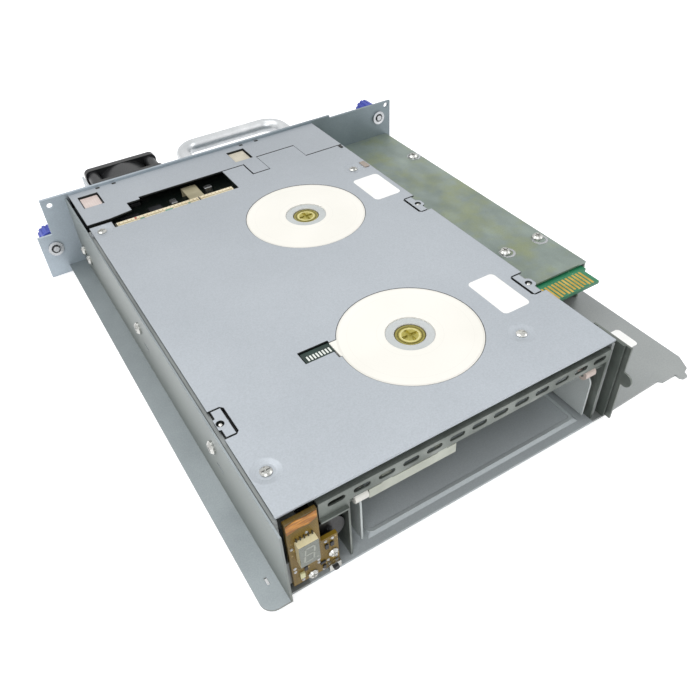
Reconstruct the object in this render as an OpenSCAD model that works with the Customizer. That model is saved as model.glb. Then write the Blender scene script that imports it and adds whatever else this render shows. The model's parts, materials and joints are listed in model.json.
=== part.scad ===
// Half-height cartridge tape drive on the sheet-metal sled that carries it into a tape library.
// Millimetres. X runs to the right along the cartridge slot's side, Y to the rear panel, Z up.
// The origin lies on the sled's resting face, under the middle of the drive's width,
// in the plane of the cover's front edge.

/* [Drive] */
// Width of the drive, a standard bay width
drive_w = 146; // [144:0.5:148]
// Depth of the drive's cover plate
drive_d = 196; // [194:1:198]
// Height of the cover's outer face above the resting face
drive_top = 43; // [42.5:0.25:44]
// Sheet of the cover plate
cover_t = 0.8; // [0.6:0.1:1]
// Sheet of the chassis walls
chassis_t = 1.5; // [1.2:0.1:1.8]

/* [Sled] */
// Depth of the room between the drive's cover and the rear panel
rear_room = 38.5; // [36:0.5:44]
// Sheet of the floor
floor_t = 1; // [0.8:0.1:1.2]
// How far the floor reaches ahead of the cover
floor_front = 2.4; // [2:0.1:3]
// Reach of the floor beyond the drive's right side
wing_reach = 58; // [54:0.5:64]
// Sheet of the side rails
rail_t = 0.8; // [0.6:0.1:1]
// Height of the left rail's flange above the resting face
rail_z = 3.5; // [3:0.1:5]
// Width of the left rail's flange
rail_flange_w = 9.3; // [7:0.1:11]
// How far the left rail reaches ahead of the cover
rail_front = 6.5; // [5:0.5:8]

/* [Rear panel] */
// Sheet of the rear panel
panel_t = 1.5; // [1.2:0.1:1.8]
// Height of the panel over the drive
panel_h = 44.3; // [44:0.1:46]
// Height of the panel to the right of the drive
panel_right_h = 42.7; // [42:0.1:44]
// Reach of the panel beyond the drive's right side
panel_reach = 56; // [55:0.5:60]
// Reach of the upper left ear beyond the drive's left side
ear_reach = 13.4; // [12:0.2:17]
// Reach of the lower left ear beyond the drive's left side
low_ear_reach = 21; // [20:0.5:25]
// Height of the lower left ear
low_ear_h = 24.5; // [23:0.5:26]
// Radius of the two alignment holes
align_r = 1.5; // [1.2:0.1:1.8]

/* [Handle] */
// Thickness of the handle's rod
handle_dia = 8; // [7:0.5:9]
// Distance between the handle's legs
handle_span = 65; // [58:1:70]
// Distance from the panel to the middle of the rod
handle_reach = 36; // [30:1:42]
// Radius of the rod's bends
handle_bend = 11; // [9:0.5:14]
// Height of the handle
handle_z = 32; // [28:0.5:36]

/* [Fan] */
// Side of the fan's square frame
fan_size = 40; // [38:1:40]
// Depth of the fan
fan_depth = 20; // [18:1:25]
// Number of fan blades
fan_blades = 7; // [5:1:9]

/* [Cartridge bay] */
// Width left for the loading gear between the drive's left side and the bay
gear_room = 32.6; // [32:0.2:34]
// Width left between the bay and the drive's right side
bay_side = 5.8; // [5.6:0.1:6.4]
// Travel of the carriage from the slot to its inner stop
carriage_travel = 20; // [14:1:20]
// Clearance behind the carriage at its inner stop
stop_room = 5.4; // [5:0.2:8]

/* [Reel motors] */
// Radius of the white disc on each motor
disc_r = 28.8; // [26:0.2:29]
// Radius of the recess in the middle of each disc
recess_r = 9.9; // [9:0.1:11]
// Radius of the brass hub
hub_r = 6.2; // [5.5:0.1:7]
// Radius of the motor's rotor
rotor_r = 24; // [22:0.5:25]
// Distance from the take-up motor's axis to the drive's rear edge
takeup_back = 49.2; // [49:0.2:52]
// Share of the width beside the heads that the take-up reel's radius takes
reel_share = 0.4; // [0.36:0.01:0.4]

/* [Interface channel] */
// Width of the channel cover
channel_w = 48; // [46:1:50]
// Height of the channel cover above the resting face
channel_h = 22.2; // [21:0.2:24]
// Distance from the cover's front edge to the channel's mouth
channel_y = 61.5; // [60:0.5:66]
// How far the card edge reaches out of the channel
card_reach = 13; // [11:0.5:14]

/* [Slotted front strip] */
// Number of long holes in the strip
slot_count = 13; // [9:1:13]
// Distance from the strip's left end to the middle of the first long hole
slot_start = 6.7; // [6:0.1:9]
// Length of a long hole
slot_len = 6.6; // [5:0.2:7]
// Height of a long hole
slot_h = 2.4; // [1.8:0.1:2.8]

/* [Thumbscrews] */
// Radius of the knob
knob_r = 5.2; // [5.2:0.2:7]
// Length of the knob
knob_len = 9; // [9:0.5:14]
// Travel of the captive screw
screw_travel = 6; // [4:0.5:6]

/* [Hidden] */
$fn = 48;
// Facets of the largest circles
disc_fn = 120;
// Facets of pins and screws
pin_fn = 32;
// Overrun of every cut
over = 1;
// Clearance between sheets that lie side by side
sheet_gap = 0.3;
// Clearance of a shaft in its bore, on the radius
run_gap = 0.05;
// Clearance of a screw in its hole, on the radius
screw_gap = 0.15;
// Clearance between fixed solids that only pass each other
pass_gap = 0.2;

// Fasteners
screw_r = 1.5;
screw_head_r = 2.8;
screw_head_h = 1.7;
screw_dome_share = 0.45;
screw_top_share = 0.7;
tap_r = screw_r + run_gap;
cross_len = 3.2;
cross_w = 0.7;
cross_depth = 0.9;
small_screw_r = 1;
small_tap_r = small_screw_r + run_gap;
small_head_r = 1.9;
small_head_h = 1.2;
small_cross_len = 2.4;
small_cross_w = 0.5;
small_cross_depth = 0.6;
flat_head_r = 2.2;
flat_head_h = 0.9;

// Plan: how the drive's width and the sled's depth are shared out
half_w = drive_w / 2;
sled_d = drive_d + rear_room;
bay_left = gear_room - half_w;
bay_right = half_w - bay_side;
takeup_y = drive_d - takeup_back;
head_base_ahead = 43.8;
head_base_y = takeup_y - head_base_ahead;
carriage_front = 1.6;
carriage_len = head_base_y - stop_room - carriage_travel - carriage_front;
leg_in = 6.7;
leg_left_x = bay_left - leg_in;
panel_board_in = 2.5;
panel_board_neck = 11.6;
panel_board_gap = 5.4;
panel_board_l = panel_board_in - half_w;
panel_board_mid = panel_board_l + panel_board_neck;
panel_board_r = leg_left_x - panel_board_gap;
window_in = 12;
window_l = window_in - half_w;

// Levels
cover_z = drive_top - cover_t;
deck_t = 1.6;
deck_gap = 1;
deck_z = cover_z - deck_gap - deck_t;
deck_top = deck_z + deck_t;
chassis_floor_t = 1;
chassis_z = floor_t;
chassis_floor_top = chassis_z + chassis_floor_t;
board_t = 1.6;
logic_z = 33;

// Floor: embossed pan under the cartridge bay
pan_rise = 0.8;
pan_slope = 1.4;
pan_front = 1.3;
pan_inset = 1.9;
pan_left = bay_left + pan_inset;
pan_right = bay_right - pan_inset;
pan_back = 7;
pan_rear = head_base_y - pan_back;
pan_wall = 2.2;

// Floor: front edge of the wing
wing_right = half_w + wing_reach;
wing_root_in = 53;
wing_root_x = wing_right - wing_root_in;
wing_step_in = 20;
wing_step_x = wing_right - wing_step_in;
wing_front = 1.2;
wing_step = 1.6;
wing_ramp = 1.4;
wing_tab_in = 10.6;
wing_tab_x = wing_right - wing_tab_in;
wing_tab_lead = 2.2;
wing_tab_end = 1;
wing_tab_w = 3.5;
wing_tab_reach = 3.5;
wing_tab_slope = 1.1;
wing_nose_in = 3.2;
wing_corner_x = 1.1;
wing_corner_y = 1.6;
wing_corner_len = 2.3;

// Floor: standoffs for the boards
standoff_r = 2.6;
logic_post_in = 17;
logic_post_x = half_w - logic_post_in;
logic_post_back = 8.5;
logic_post_y = sled_d - logic_post_back;

// Left rail
rail_gap = sheet_gap;
rail_in = -half_w - rail_gap;
rail_out = rail_in - rail_t;
rail_h = drive_top - 1;
rail_corner_r = 5;
side_hole_front = 47.4;
side_hole_pitch = 79.2;
side_hole_y = [side_hole_front, side_hole_front + side_hole_pitch];
side_hole_z = 30.2;
side_screw_len = 4;
thin_head_h = 1.2;
side_slit_len = 6;
side_slit_h = 1.2;
side_slit_z = 20.6;
side_slit_back = 3;
tie_slot_len = 3;
tie_slot_w = 1;
tie_slot_y = 3;
tie_slot_in = 3;
rail_screw_back = 8.5;
rail_screw_pitch = 11;
rail_screw_y = [sled_d - rail_screw_back - rail_screw_pitch, sled_d - rail_screw_back];
rail_screw_z = 15;
lug_x = rail_in + sheet_gap;
lug_tab_back = 3.5;
lug_tab_len = 24;
lug_tab_y = sled_d - lug_tab_back - lug_tab_len;
lug_tab_h = 22;

// Right rail and its front bracket
right_rail_gap = 2.3;
right_rail_in = half_w + right_rail_gap;
right_rail_front = 2.8;
right_rail_top = 40.4;
right_rail_low_top = 37;
tall_len = 14;
spacer_r = 5;
bracket_gap = 0.7;
bracket_in = right_rail_in + rail_t + bracket_gap;
bracket_front = 5;
bracket_top = 39.8;
bracket_tab_reach = 4.3;
bracket_tab_r = 3.1;
bracket_tab_z = 24.3;
rivet_r = 2;
rivet_up = 7;
rivet_down = 6.2;
rivet_z = [floor_t + rivet_up, bracket_top - rivet_down];
rivet_y = 1.2;
rivet_head = 0.4;
bracket_back = 14;

// Rear panel
panel_rear = sled_d + panel_t;
panel_right = half_w + panel_reach;
panel_step_out = 12.4;
panel_step_x = half_w + panel_step_out;
ear_x = -half_w - ear_reach;
low_ear_x = -half_w - low_ear_reach;
align_left_in = 4.1;
align_left_x = ear_x + align_left_in;
align_right_in = 3;
align_right_x = panel_right - align_right_in;
align_z = 40.4;
captive_left_in = 7.1;
captive_left_z = 16.5;
captive_left = [low_ear_x + captive_left_in, captive_left_z];
captive_right_in = 8.8;
captive_right_z = 34;
captive_right = [panel_right - captive_right_in, captive_right_z];

// Fan
fan_in = 35.2;
fan_x = fan_in - half_w;
fan_z = 23;
fan_left = fan_x - fan_size / 2;
fan_plate_t = 1.5;
fan_front = panel_rear + fan_plate_t;
fan_rear = fan_front + fan_depth;
fan_cheek_t = 1;
fan_cheek_gap = 1.6;
fan_cheek_len = 12.5;
fan_hole_pitch = 32;
fan_duct_r = 18.6;
fan_corner_r = 3;
fan_flange_t = 3.6;
fan_barrel_r = 19.8;
fan_tube_r = 3.2;
fan_hub_r = 9.5;
fan_tip_gap = 0.8;
fan_strut_t = 3;
fan_strut_w = 3;
fan_strut_count = 3;
fan_pin_r = 1.5;
fan_pin_len = 12;
fan_blade_t = 1.2;
fan_blade_tilt = 38;
fan_rotor_len = 13;
fan_rotor_gap = 2;
fan_rotor_y = fan_front + fan_rotor_gap;
fan_blade_len = 12;
grille_rings = 4;
grille_pitch = 4.1;
grille_hole_r = 1.5;
grille_share = 6;

// Handle
handle_x = 33.5;
handle_screw_depth = 10;
handle_y = panel_rear + handle_reach;

// Captive thumbscrews
ferrule_r = 3.3;
ferrule_bore_r = 2.45;
ferrule_len = screw_travel + 1;
ferrule_flange_r = 4;
ferrule_flange_t = 1;
captive_hole_gap = 0.05;
knob_gap = 0.5;
knob_bore_r = 4.1;
knob_rim = 1.2;
captive_shank_r = 2.35;
captive_tip_r = 1.6;
captive_tip_len = 4;
captive_end = 0.5;
knob_grip_count = 12;
knob_grip_r = 0.6;
ring_t = 0.8;
ring_r = 3.6;
ring_space = 0.2;
knob_bore_len = screw_travel + ring_t + 2 * ring_space;
ferrule_end = panel_rear + ferrule_len;
knob_y = ferrule_end + knob_gap;
ring_y = knob_y + knob_bore_len - ring_space - ring_t;
captive_tip_y = sled_d - ferrule_flange_t - captive_end;

// Interface channel and its board
channel_t = 1;
channel_x = right_rail_in + rail_t + bracket_gap + rail_t + sheet_gap;
channel_top_gap = 0.9;
card_z = channel_h - channel_t - channel_top_gap - board_t;
card_side_gap = 1.2;
card_right_in = 2;
card_back_gap = 0.5;
card_ear = 2.6;
channel_screw_in = 4.8;
channel_screw_mid = 26.8;
channel_screw_back = 36.8;
channel_screw_ahead = 28.5;
channel_screw_mid_ahead = 27.7;
channel_screw_x = [
  channel_w - channel_screw_in,
  channel_w - channel_screw_in,
  channel_w - channel_screw_mid
];
channel_screw_y = [
  sled_d - channel_screw_back,
  channel_y + channel_screw_ahead,
  channel_y + channel_screw_mid_ahead
];
channel_screw_len = 8;
host_w = 34;
host_h = 9;
host_z = 6.2;
host_body_d = 14;
host_shell = 6;
host_wall = 0.8;
host_slant = 1.6;
host_lug = 5.5;
host_x = channel_x + channel_w / 2;

// Rear cover plate
rear_cover_gap = 3.3;
rear_cover_front = drive_d + rear_cover_gap;
rear_notch_in = 12;
rear_notch_l = window_l + rear_notch_in;
rear_notch_rise = 1.8;
rear_notch_step = 7;
rear_notch_step_x = rear_notch_l + rear_notch_step;
rear_notch_len = 15.4;
rear_notch_y = drive_d + rear_notch_len;
rear_notch_drop = 2.4;
rear_notch_step_y = rear_notch_y - rear_notch_drop;
tongue_in = 22.8;
tongue_w = 23;
tongue_len = 18.8;
tongue_r = half_w - tongue_in;
tongue_y = drive_d + tongue_len;
tooth_w = 9.6;
tooth_len = 2.9;
tooth_r = tongue_r - tongue_w;
tooth_l = tooth_r - tooth_w;
rear_tooth_y = drive_d + tooth_len;
rear_right_len = 4;
rear_right_y = drive_d + rear_right_len;
join_gap = 0.7;
tooth_gap = 0.15;
rear_window_w = 10.3;
rear_window_d = 13;
rear_window_in = 4.4;
rear_window_side = 2.5;
rear_window_x = [rear_window_in - half_w, tooth_l - rear_window_side];
rear_window_back = 5.5;
rear_window_y = sled_d - rear_window_back - rear_window_d;
rear_flange_h = 6;
pad_gap = 0.3;
pad_drop = 0.3;

// Cover plate
cover_left_gap = 0.2;
cover_left = -half_w + rail_t + cover_left_gap;
window_side = 13;
window_r = tooth_l - window_side;
window_len = 6.2;
window_y = drive_d - window_len;
screw_fl_x = 6.8;
screw_fl_y = 17.6;
screw_fr_x = 26.6;
screw_fr_y = 22.6;
screw_rl_x = 5.6;
screw_rl_y = 5.6;
screw_rr_x = 9.6;
screw_rr_y = 23.8;
screw_places = [
  [screw_fl_x - half_w, screw_fl_y],
  [half_w - screw_fr_x, screw_fr_y],
  [screw_rl_x - half_w, drive_d - screw_rl_y],
  [half_w - screw_rr_x, drive_d - screw_rr_y]
];
dish_r = 5.4;
dish_flat_r = 3.3;
dish_depth = 0.5;
supply_in = 2.3;
supply_y = 46.7;
supply = [(bay_left + bay_right) / 2 - supply_in, supply_y];
clip_w = 6.8;
clip_len = 15;
clip_line = 0.7;
clip_side_line = 1.1;
clip_hook_w = 2;
clip_lobe_r = 3.1;
clip_hole_r = 1.5;
clip_corner_r = 1.2;
clip_left_y = 44.5;
clip_right_y = 45;
clip_back = 72.5;
clip_y = [clip_left_y, drive_d - clip_back, clip_right_y];
clip_side = [-1, 1, 1];
conn_window_w = 13.3;
conn_window_d = 7;

// Motor discs and motors
tail_w = 9;
tail_out = 0.3;
tail_ahead = 8.3;
tail_x = supply[0] - disc_r - tail_out;
tail_y = supply_y + tail_ahead;
tail_join = 5;
disc_drop = 0.1;
recess_depth = 0.5;
deck_hole_r = 25.6;
hub_drop = 1;
hub_cross_len = 7;
hub_cross_w = 1.4;
hub_cross_depth = 0.8;
hub_flange_t = 1;
hub_flange_r = 8;
stator_r = 19.5;
stator_z = 34.6;
pole_count = 9;
pole_w = 5;
pole_core_r = 10;
pole_shoe_r = 17;
pole_shoe_gap = 1.4;
pole_gap = 0.6;
rotor_wall = 3.6;
rotor_plate_t = 1.5;
rotor_z = 31.5;
rotor_top = 39.2;
shaft_r = 2;
shaft_top = 40.4;
shaft_end_gap = 0.2;
clutch_r = 16;
clutch_t = 2.6;
clutch_tooth_h = 1.2;
clutch_tooth_w = 2;
clutch_teeth = 24;
clutch_in_r = 11;
reel_hub_r = 22;
reel_flange_t = 1.5;
reel_z = 12;
reel_wall = 2;
reel_slack = 0.3;
reel_side_gap = 6.1;
reel_rear_gap = 2.7;

// Connector in the cover's window
conn_inset = 0.6;
conn_side_gap = 0.1;
conn_ahead = 7.3;
conn_window = [tail_x + conn_side_gap - conn_window_w, supply_y + conn_ahead];
conn_pins = 8;
conn_pin_w = 0.7;
conn_pin_len = 2.6;
conn_pin_h = 0.25;
conn_pitch = 1.35;
conn_drop = 0.7;
conn_pin_in = 0.6;

// Chassis
deck_front = 9;
deck_back = 7;
deck_rear = drive_d - deck_back;
motor_in = 13.6;
motor_x = bay_left - motor_in;
motor_plate_y = 22.6;
motor_plate_t = 1.2;
motor_plate_in = 2.6;
motor_plate_right = bay_left - motor_plate_in;
screw_plate_z = 24;
screw_plate_out = 6;
screw_plate_right = motor_x + screw_plate_out;
chassis_floor_ahead = 5;
chassis_floor_y = head_base_y - chassis_floor_ahead;
boss_r = 3.6;
boss_h = 4;
board_post_r = 2.5;
board_post_in = 3;
board_post_back = 12;
board_post_right_back = 10;
board_post = [
  [window_l + board_post_in, drive_d - board_post_back],
  [logic_post_x, drive_d - board_post_right_back]
];
rear_wall_h = 30;
board_plate_t = 1.2;
board_plate_in = 0.3;
board_plate_right = panel_board_r - board_plate_in;
board_plate_h = 17;

// Front frame: slotted strip, its fold and its legs
strip_front = 0.8;
strip_t = 0.8;
strip_side_gap = 1.1;
strip_left = panel_board_mid + strip_side_gap;
strip_wall_gap = 0.5;
strip_right = half_w - chassis_t - strip_wall_gap;
strip_top = deck_z;
strip_bottom = 33.7;
strip_fold = 14;
slot_end = 5.5;
slot_pitch = (strip_right - strip_left - slot_start - slot_end) / (slot_count - 1);
slot_z = 36.8;
leg_wall_gap = 0.7;
leg_right_x = half_w - chassis_t - leg_wall_gap - strip_t;
leg_len = 12;
shelf_z = 30.4;
shelf_reach = 1.2;
shelf_len = 9;
slot_roller_r = 2.3;
slot_roller_len = 5.2;
slot_pin_r = 0.8;
slot_roller_z = 30.2;
slot_roller_y = 1.5;
left_roller_in = 1;
left_roller_x = bay_left - left_roller_in;
right_roller_in = 4.5;
right_roller_x = bay_right - right_roller_in;

// White bar under the strip
bar_in = 2.1;
bar_len = 36.3;
bar_left = bay_left + bar_in;
bar_right = bar_left + bar_len;
bar_bottom = 27.4;
bar_top = 32;
bar_back = 2.4;
bar_lug_in = 5.3;
bar_lug_end = 8;
bar_lugs = [bar_left + bar_lug_in, bar_right - bar_lug_end];
bar_lug_w = 4;
bar_up = 3.4;

// Carriage
plate_z = 2.7;
plate_t = 0.8;
plate_left_top = 27.3;
plate_right_top = 24;
carriage_rear = carriage_front + carriage_len;
carriage_floor_y = 30;
carriage_corner_r = 4;
lug_y = 36;
lug_len = 6;
lug_half = 4.4;
lug_stop_gap = 4;
screw_plate_y = lug_y + lug_len + carriage_travel + lug_stop_gap;
lug_arm_t = 3;

// Load motor, gears and screw
motor_z = 20.5;
motor_r = 6.2;
motor_front = 1;
motor_boss_t = 0.4;
motor_shaft_r = 1;
motor_shaft_hole_r = 1.6;
gear_module = 0.5;
pinion_teeth = 12;
gear_teeth = 30;
gear_w = 3.6;
gear_space = 0.6;
gear_tip_share = 0.8;
gear_root_share = 1.15;
tooth_tip_share = 0.11;
tooth_root_share = 0.29;
root_in_share = 0.96;
lead_r = 2.5;
journal_r = 1.5;
gear_distance = gear_module * (pinion_teeth + gear_teeth) / 2;
lead_z = motor_z + gear_distance;
gear_y = motor_plate_y + motor_plate_t + gear_space;

// Heads and tape path
head_base_in = 3;
head_base_w = 36;
head_base_d = 75;
head_base_x = head_base_in - half_w;
head_base_t = 3;
head_floor_top = chassis_floor_top + head_base_t;
head_wall_in = 26;
head_wall_x = head_base_x + head_wall_in;
head_wall_right = head_wall_x + head_base_t;
head_bridge_z = 31;
post_r = 1.5;
post_collar_r = 2.6;
post_top = 31;
roller_in = 28;
roller_out = 16;
roller_start = 5;
roller_step = 9;
roller_span = 40;
roller_2_y = head_base_y + roller_start + roller_step;
roller_places = [
  [head_base_x + roller_in, roller_2_y - roller_step],
  [head_base_x + roller_out, roller_2_y],
  [head_base_x + roller_out, roller_2_y + roller_span],
  [head_base_x + roller_in, roller_2_y + roller_span + roller_step]
];
roller_r = 4.5;
roller_flange_r = 5.6;
roller_flange_t = 1;
roller_z = 12;
tape_w = 12.65;
tape_gap = 0.1;
head_ahead = 34;
head_y = head_base_y + head_ahead;
head_len = 12;
head_h = 20;
head_z = 9.4;
head_arm_h = 6;
head_arm_w = 9;
head_arm_z = 16;
head_pin_r = 1.2;
head_pin_out = 9;
head_pin_in = 20;
head_pin_x = head_base_x + head_pin_in;
head_pin_y = head_y + head_pin_out;
head_screw_y = head_y - head_pin_out;
head_face_out = 9.3;
head_face_x = head_pin_x - head_face_out;
head_lead_r = 1.4;
head_motor_r = 5;
head_motor_h = 4;
reel_room = half_w - chassis_t - head_wall_right;
reel_r = min(reel_share * reel_room, takeup_back - chassis_t - reel_rear_gap);
takeup = [half_w - chassis_t - reel_side_gap - reel_r, takeup_y];

// Display board on the left of the slot
panel_board_reach = 2.2;
board_back = board_t - panel_board_reach;
panel_board_z = 4;
panel_board_top = 40.6;
panel_board_step = 21.8;
board_screw_in = 7.3;
board_screw_up = 2;
board_screw_right_in = 2.3;
board_screw_right_up = 8.2;
board_screw_places = [
  [panel_board_l + board_screw_in, panel_board_z + board_screw_up],
  [panel_board_r - board_screw_right_in, panel_board_z + board_screw_right_up]
];
digit_in = 2.4;
digit_x = panel_board_l + digit_in;
digit_w = 7.3;
digit_z = 17.8;
digit_h = 11.3;
digit_d = 3;
digit_pins = 5;
digit_pin_w = 0.5;
digit_pin_h = 1.6;
switch_in = 4.9;
switch_x = panel_board_r - switch_in;
switch_w = 4.6;
switch_z = 4;
switch_h = 3.4;
switch_d = 1.8;
switch_face_t = 0.5;
button_r = 1.1;
button_out = 1;
button_travel = 0.3;
led_x = panel_board_l + panel_board_in;
led_w = 1.8;
led_z = 7.4;
led_h = 2.8;
led_d = 0.8;

// Main board parts
edge_conn_left_in = 1.2;
edge_conn_right_in = 2;
edge_conn_gap = 0.6;
edge_conn_x = [window_l + edge_conn_left_in, window_r - edge_conn_right_in];
edge_conn_y = window_y + edge_conn_gap;
edge_conn_d = 4.9;
edge_conn_top = 41.9;
edge_slot = 0.8;
logic_left_in = 4;
logic_right_in = 15;
logic_ahead = 23;
logic_back = 3.5;
logic_x = [logic_left_in - half_w, half_w - logic_right_in];
logic_y = [drive_d - logic_ahead, sled_d - logic_back];
flex_in = 19.6;
flex_x = window_r - flex_in;
flex_w = 8;
flex_t = 0.5;
flex_reach = 18;
flex_rise = 4;
flex_drop = 2.6;

// Block between two levels on each axis
module block(x, y, z) {
  translate([x[0], y[0], z[0]])
    cube([x[1] - x[0], y[1] - y[0], z[1] - z[0]]);
}

// Round bar along X
module bar_x(r, x, y, z) {
  translate([x[0], y, z])
    rotate([0, 90, 0])
      cylinder(r = r, h = x[1] - x[0]);
}

// Round bar along Y
module bar_y(r, x, y, z) {
  translate([x, y[1], z])
    rotate([90, 0, 0])
      cylinder(r = r, h = y[1] - y[0]);
}

// Round bar along Z
module bar_z(r, x, y, z) {
  translate([x, y, z[0]])
    cylinder(r = r, h = z[1] - z[0]);
}

// Round cuts along X, Y and Z that overrun both ends of their reach
module bore_x(r, x, y, z) {
  bar_x(r, [x[0] - over, x[1] + over], y, z, $fn = pin_fn);
}

module bore_y(r, x, y, z) {
  bar_y(r, x, [y[0] - over, y[1] + over], z, $fn = pin_fn);
}

module bore_z(r, x, y, z) {
  bar_z(r, x, y, [z[0] - over, z[1] + over], $fn = pin_fn);
}

// Upright plate of a drawn outline, from a front plane back by its thickness
module upright(y, t) {
  translate([0, y + t, 0])
    rotate([90, 0, 0])
      linear_extrude(t)
        children();
}

// Screw with a low cone on its head and a cross recess, seat at zero, shank downwards
module pan_screw(r, len, head_r, head_h, cross) {
  difference() {
    union() {
      translate([0, 0, -len])
        cylinder(r = r, h = len);
      cylinder(r = head_r, h = head_h * screw_dome_share);
      translate([0, 0, head_h * screw_dome_share])
        cylinder(r1 = head_r, r2 = head_r * screw_top_share,
          h = head_h * (1 - screw_dome_share));
    }
    for (turn = [0, 90])
      rotate([0, 0, turn])
        translate([-cross[0] / 2, -cross[1] / 2, head_h - cross[2]])
          cube([cross[0], cross[1], cross[2] + over]);
  }
}

module m3_screw(len) {
  pan_screw(screw_r, len, screw_head_r, screw_head_h, [cross_len, cross_w, cross_depth],
    $fn = pin_fn);
}

module m2_screw(len) {
  pan_screw(small_screw_r, len, small_head_r, small_head_h,
    [small_cross_len, small_cross_w, small_cross_depth], $fn = pin_fn);
}

// Sled

module floor_outline() {
  polygon([
    [rail_out, -floor_front],
    [wing_root_x, -floor_front],
    [wing_step_x, -wing_front],
    [wing_step_x + wing_ramp, -wing_front - wing_step],
    [wing_tab_x, -wing_front - wing_step],
    [wing_tab_x, -wing_front - wing_step - wing_tab_lead],
    [wing_tab_x + wing_tab_slope, -wing_front - wing_step - wing_tab_reach],
    [wing_tab_x + wing_tab_w, -wing_front - wing_step - wing_tab_reach],
    [wing_tab_x + wing_tab_w + wing_tab_slope, -wing_front - wing_step - wing_tab_end],
    [wing_right - wing_nose_in, -wing_front - wing_step],
    [wing_right - wing_corner_x, wing_corner_y],
    [wing_right, wing_corner_y + wing_corner_len],
    [wing_right, sled_d],
    [rail_out, sled_d]
  ]);
}

module base_tray() {
  color([0.62, 0.66, 0.63]) {
    difference() {
      linear_extrude(floor_t)
        floor_outline();
      block([pan_left + pan_wall, pan_right - pan_wall],
        [pan_front + pan_wall, pan_rear - pan_wall], [-over, pan_rise]);
    }
    difference() {
      intersection() {
        upright(pan_front, pan_rear - pan_front)
          polygon([[pan_left, 0], [pan_right, 0], [pan_right, floor_t],
            [pan_right - pan_slope, floor_t + pan_rise],
            [pan_left + pan_slope, floor_t + pan_rise], [pan_left, floor_t]]);
        translate([pan_left, 0, 0])
          rotate([90, 0, 90])
            linear_extrude(pan_right - pan_left)
              polygon([[pan_front, 0], [pan_rear, 0], [pan_rear, floor_t],
                [pan_rear - pan_slope, floor_t + pan_rise],
                [pan_front + pan_slope, floor_t + pan_rise],
                [pan_front, floor_t]]);
      }
      block([pan_left + pan_wall, pan_right - pan_wall],
        [pan_front + pan_wall, pan_rear - pan_wall], [-over, pan_rise]);
    }
    for (side = [-1, 1])
      difference() {
        bar_z(standoff_r, side * logic_post_x, logic_post_y, [0, logic_z]);
        bar_z(tap_r, side * logic_post_x, logic_post_y, [logic_z - boss_h, logic_z + over],
          $fn = pin_fn);
      }
    for (i = [0 : len(channel_screw_x) - 1])
      difference() {
        bar_z(standoff_r, channel_x + channel_screw_x[i], channel_screw_y[i], [0, card_z]);
        bar_z(tap_r, channel_x + channel_screw_x[i], channel_screw_y[i],
          [card_z - channel_screw_len, card_z + over], $fn = pin_fn);
      }
    difference() {
      block([lug_x, lug_x + rail_t], [lug_tab_y, lug_tab_y + lug_tab_len], [0, lug_tab_h]);
      for (y = rail_screw_y)
        bore_x(tap_r, [lug_x, lug_x + rail_t], y, rail_screw_z);
    }
  }
}

module left_rail() {
  color([0.66, 0.69, 0.70])
    difference() {
      union() {
        block([rail_out, rail_in], [-rail_front, sled_d], [rail_z, rail_h]);
        difference() {
          block([rail_out - rail_flange_w, rail_out], [-rail_front, sled_d],
            [rail_z, rail_z + rail_t]);
          translate([rail_out - rail_flange_w, -rail_front, rail_z])
            difference() {
              translate([-over, -over, -over])
                cube([rail_corner_r + over, rail_corner_r + over,
                  rail_t + 2 * over]);
              translate([rail_corner_r, rail_corner_r, -over])
                cylinder(r = rail_corner_r, h = rail_t + 2 * over);
            }
        }
      }
      for (y = side_hole_y) {
        bore_x(screw_r + screw_gap, [rail_out, rail_in], y, side_hole_z);
        block([rail_out - over, rail_in + over],
          [y - side_slit_back - side_slit_len / 2, y - side_slit_back + side_slit_len / 2],
          [side_slit_z, side_slit_z + side_slit_h]);
      }
      for (y = rail_screw_y)
        bore_x(screw_r + screw_gap, [rail_out, rail_in], y, rail_screw_z);
      block([rail_out - tie_slot_in - tie_slot_w, rail_out - tie_slot_in],
        [tie_slot_y, tie_slot_y + tie_slot_len], [rail_z - over, rail_z + rail_t + over]);
    }
}

module right_rail() {
  color([0.62, 0.66, 0.63])
    difference() {
      union() {
        block([right_rail_in, right_rail_in + rail_t], [-right_rail_front, sled_d],
          [floor_t, right_rail_low_top]);
        block([right_rail_in, right_rail_in + rail_t],
          [-right_rail_front, tall_len - right_rail_front], [floor_t, right_rail_top]);
        for (y = side_hole_y)
          bar_x(spacer_r, [half_w, right_rail_in], y, side_hole_z);
        for (z = rivet_z)
          bar_x(rivet_r, [right_rail_in, bracket_in + rail_t + rivet_head], rivet_y, z);
      }
      for (y = side_hole_y)
        bore_x(screw_r + screw_gap, [half_w, right_rail_in + rail_t], y, side_hole_z);
    }
}

module front_bracket() {
  color([0.45, 0.50, 0.46])
    difference() {
      union() {
        block([bracket_in, bracket_in + rail_t], [-bracket_front, bracket_back],
          [floor_t, bracket_top]);
        block([bracket_in, bracket_in + rail_t],
          [bracket_tab_r - bracket_front - bracket_tab_reach, -bracket_front],
          [bracket_tab_z - bracket_tab_r, bracket_tab_z + bracket_tab_r]);
        bar_x(bracket_tab_r, [bracket_in, bracket_in + rail_t],
          bracket_tab_r - bracket_front - bracket_tab_reach, bracket_tab_z);
      }
      for (z = rivet_z)
        bar_x(rivet_r + run_gap, [bracket_in - over, bracket_in + rail_t + over], rivet_y, z);
    }
}

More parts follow.
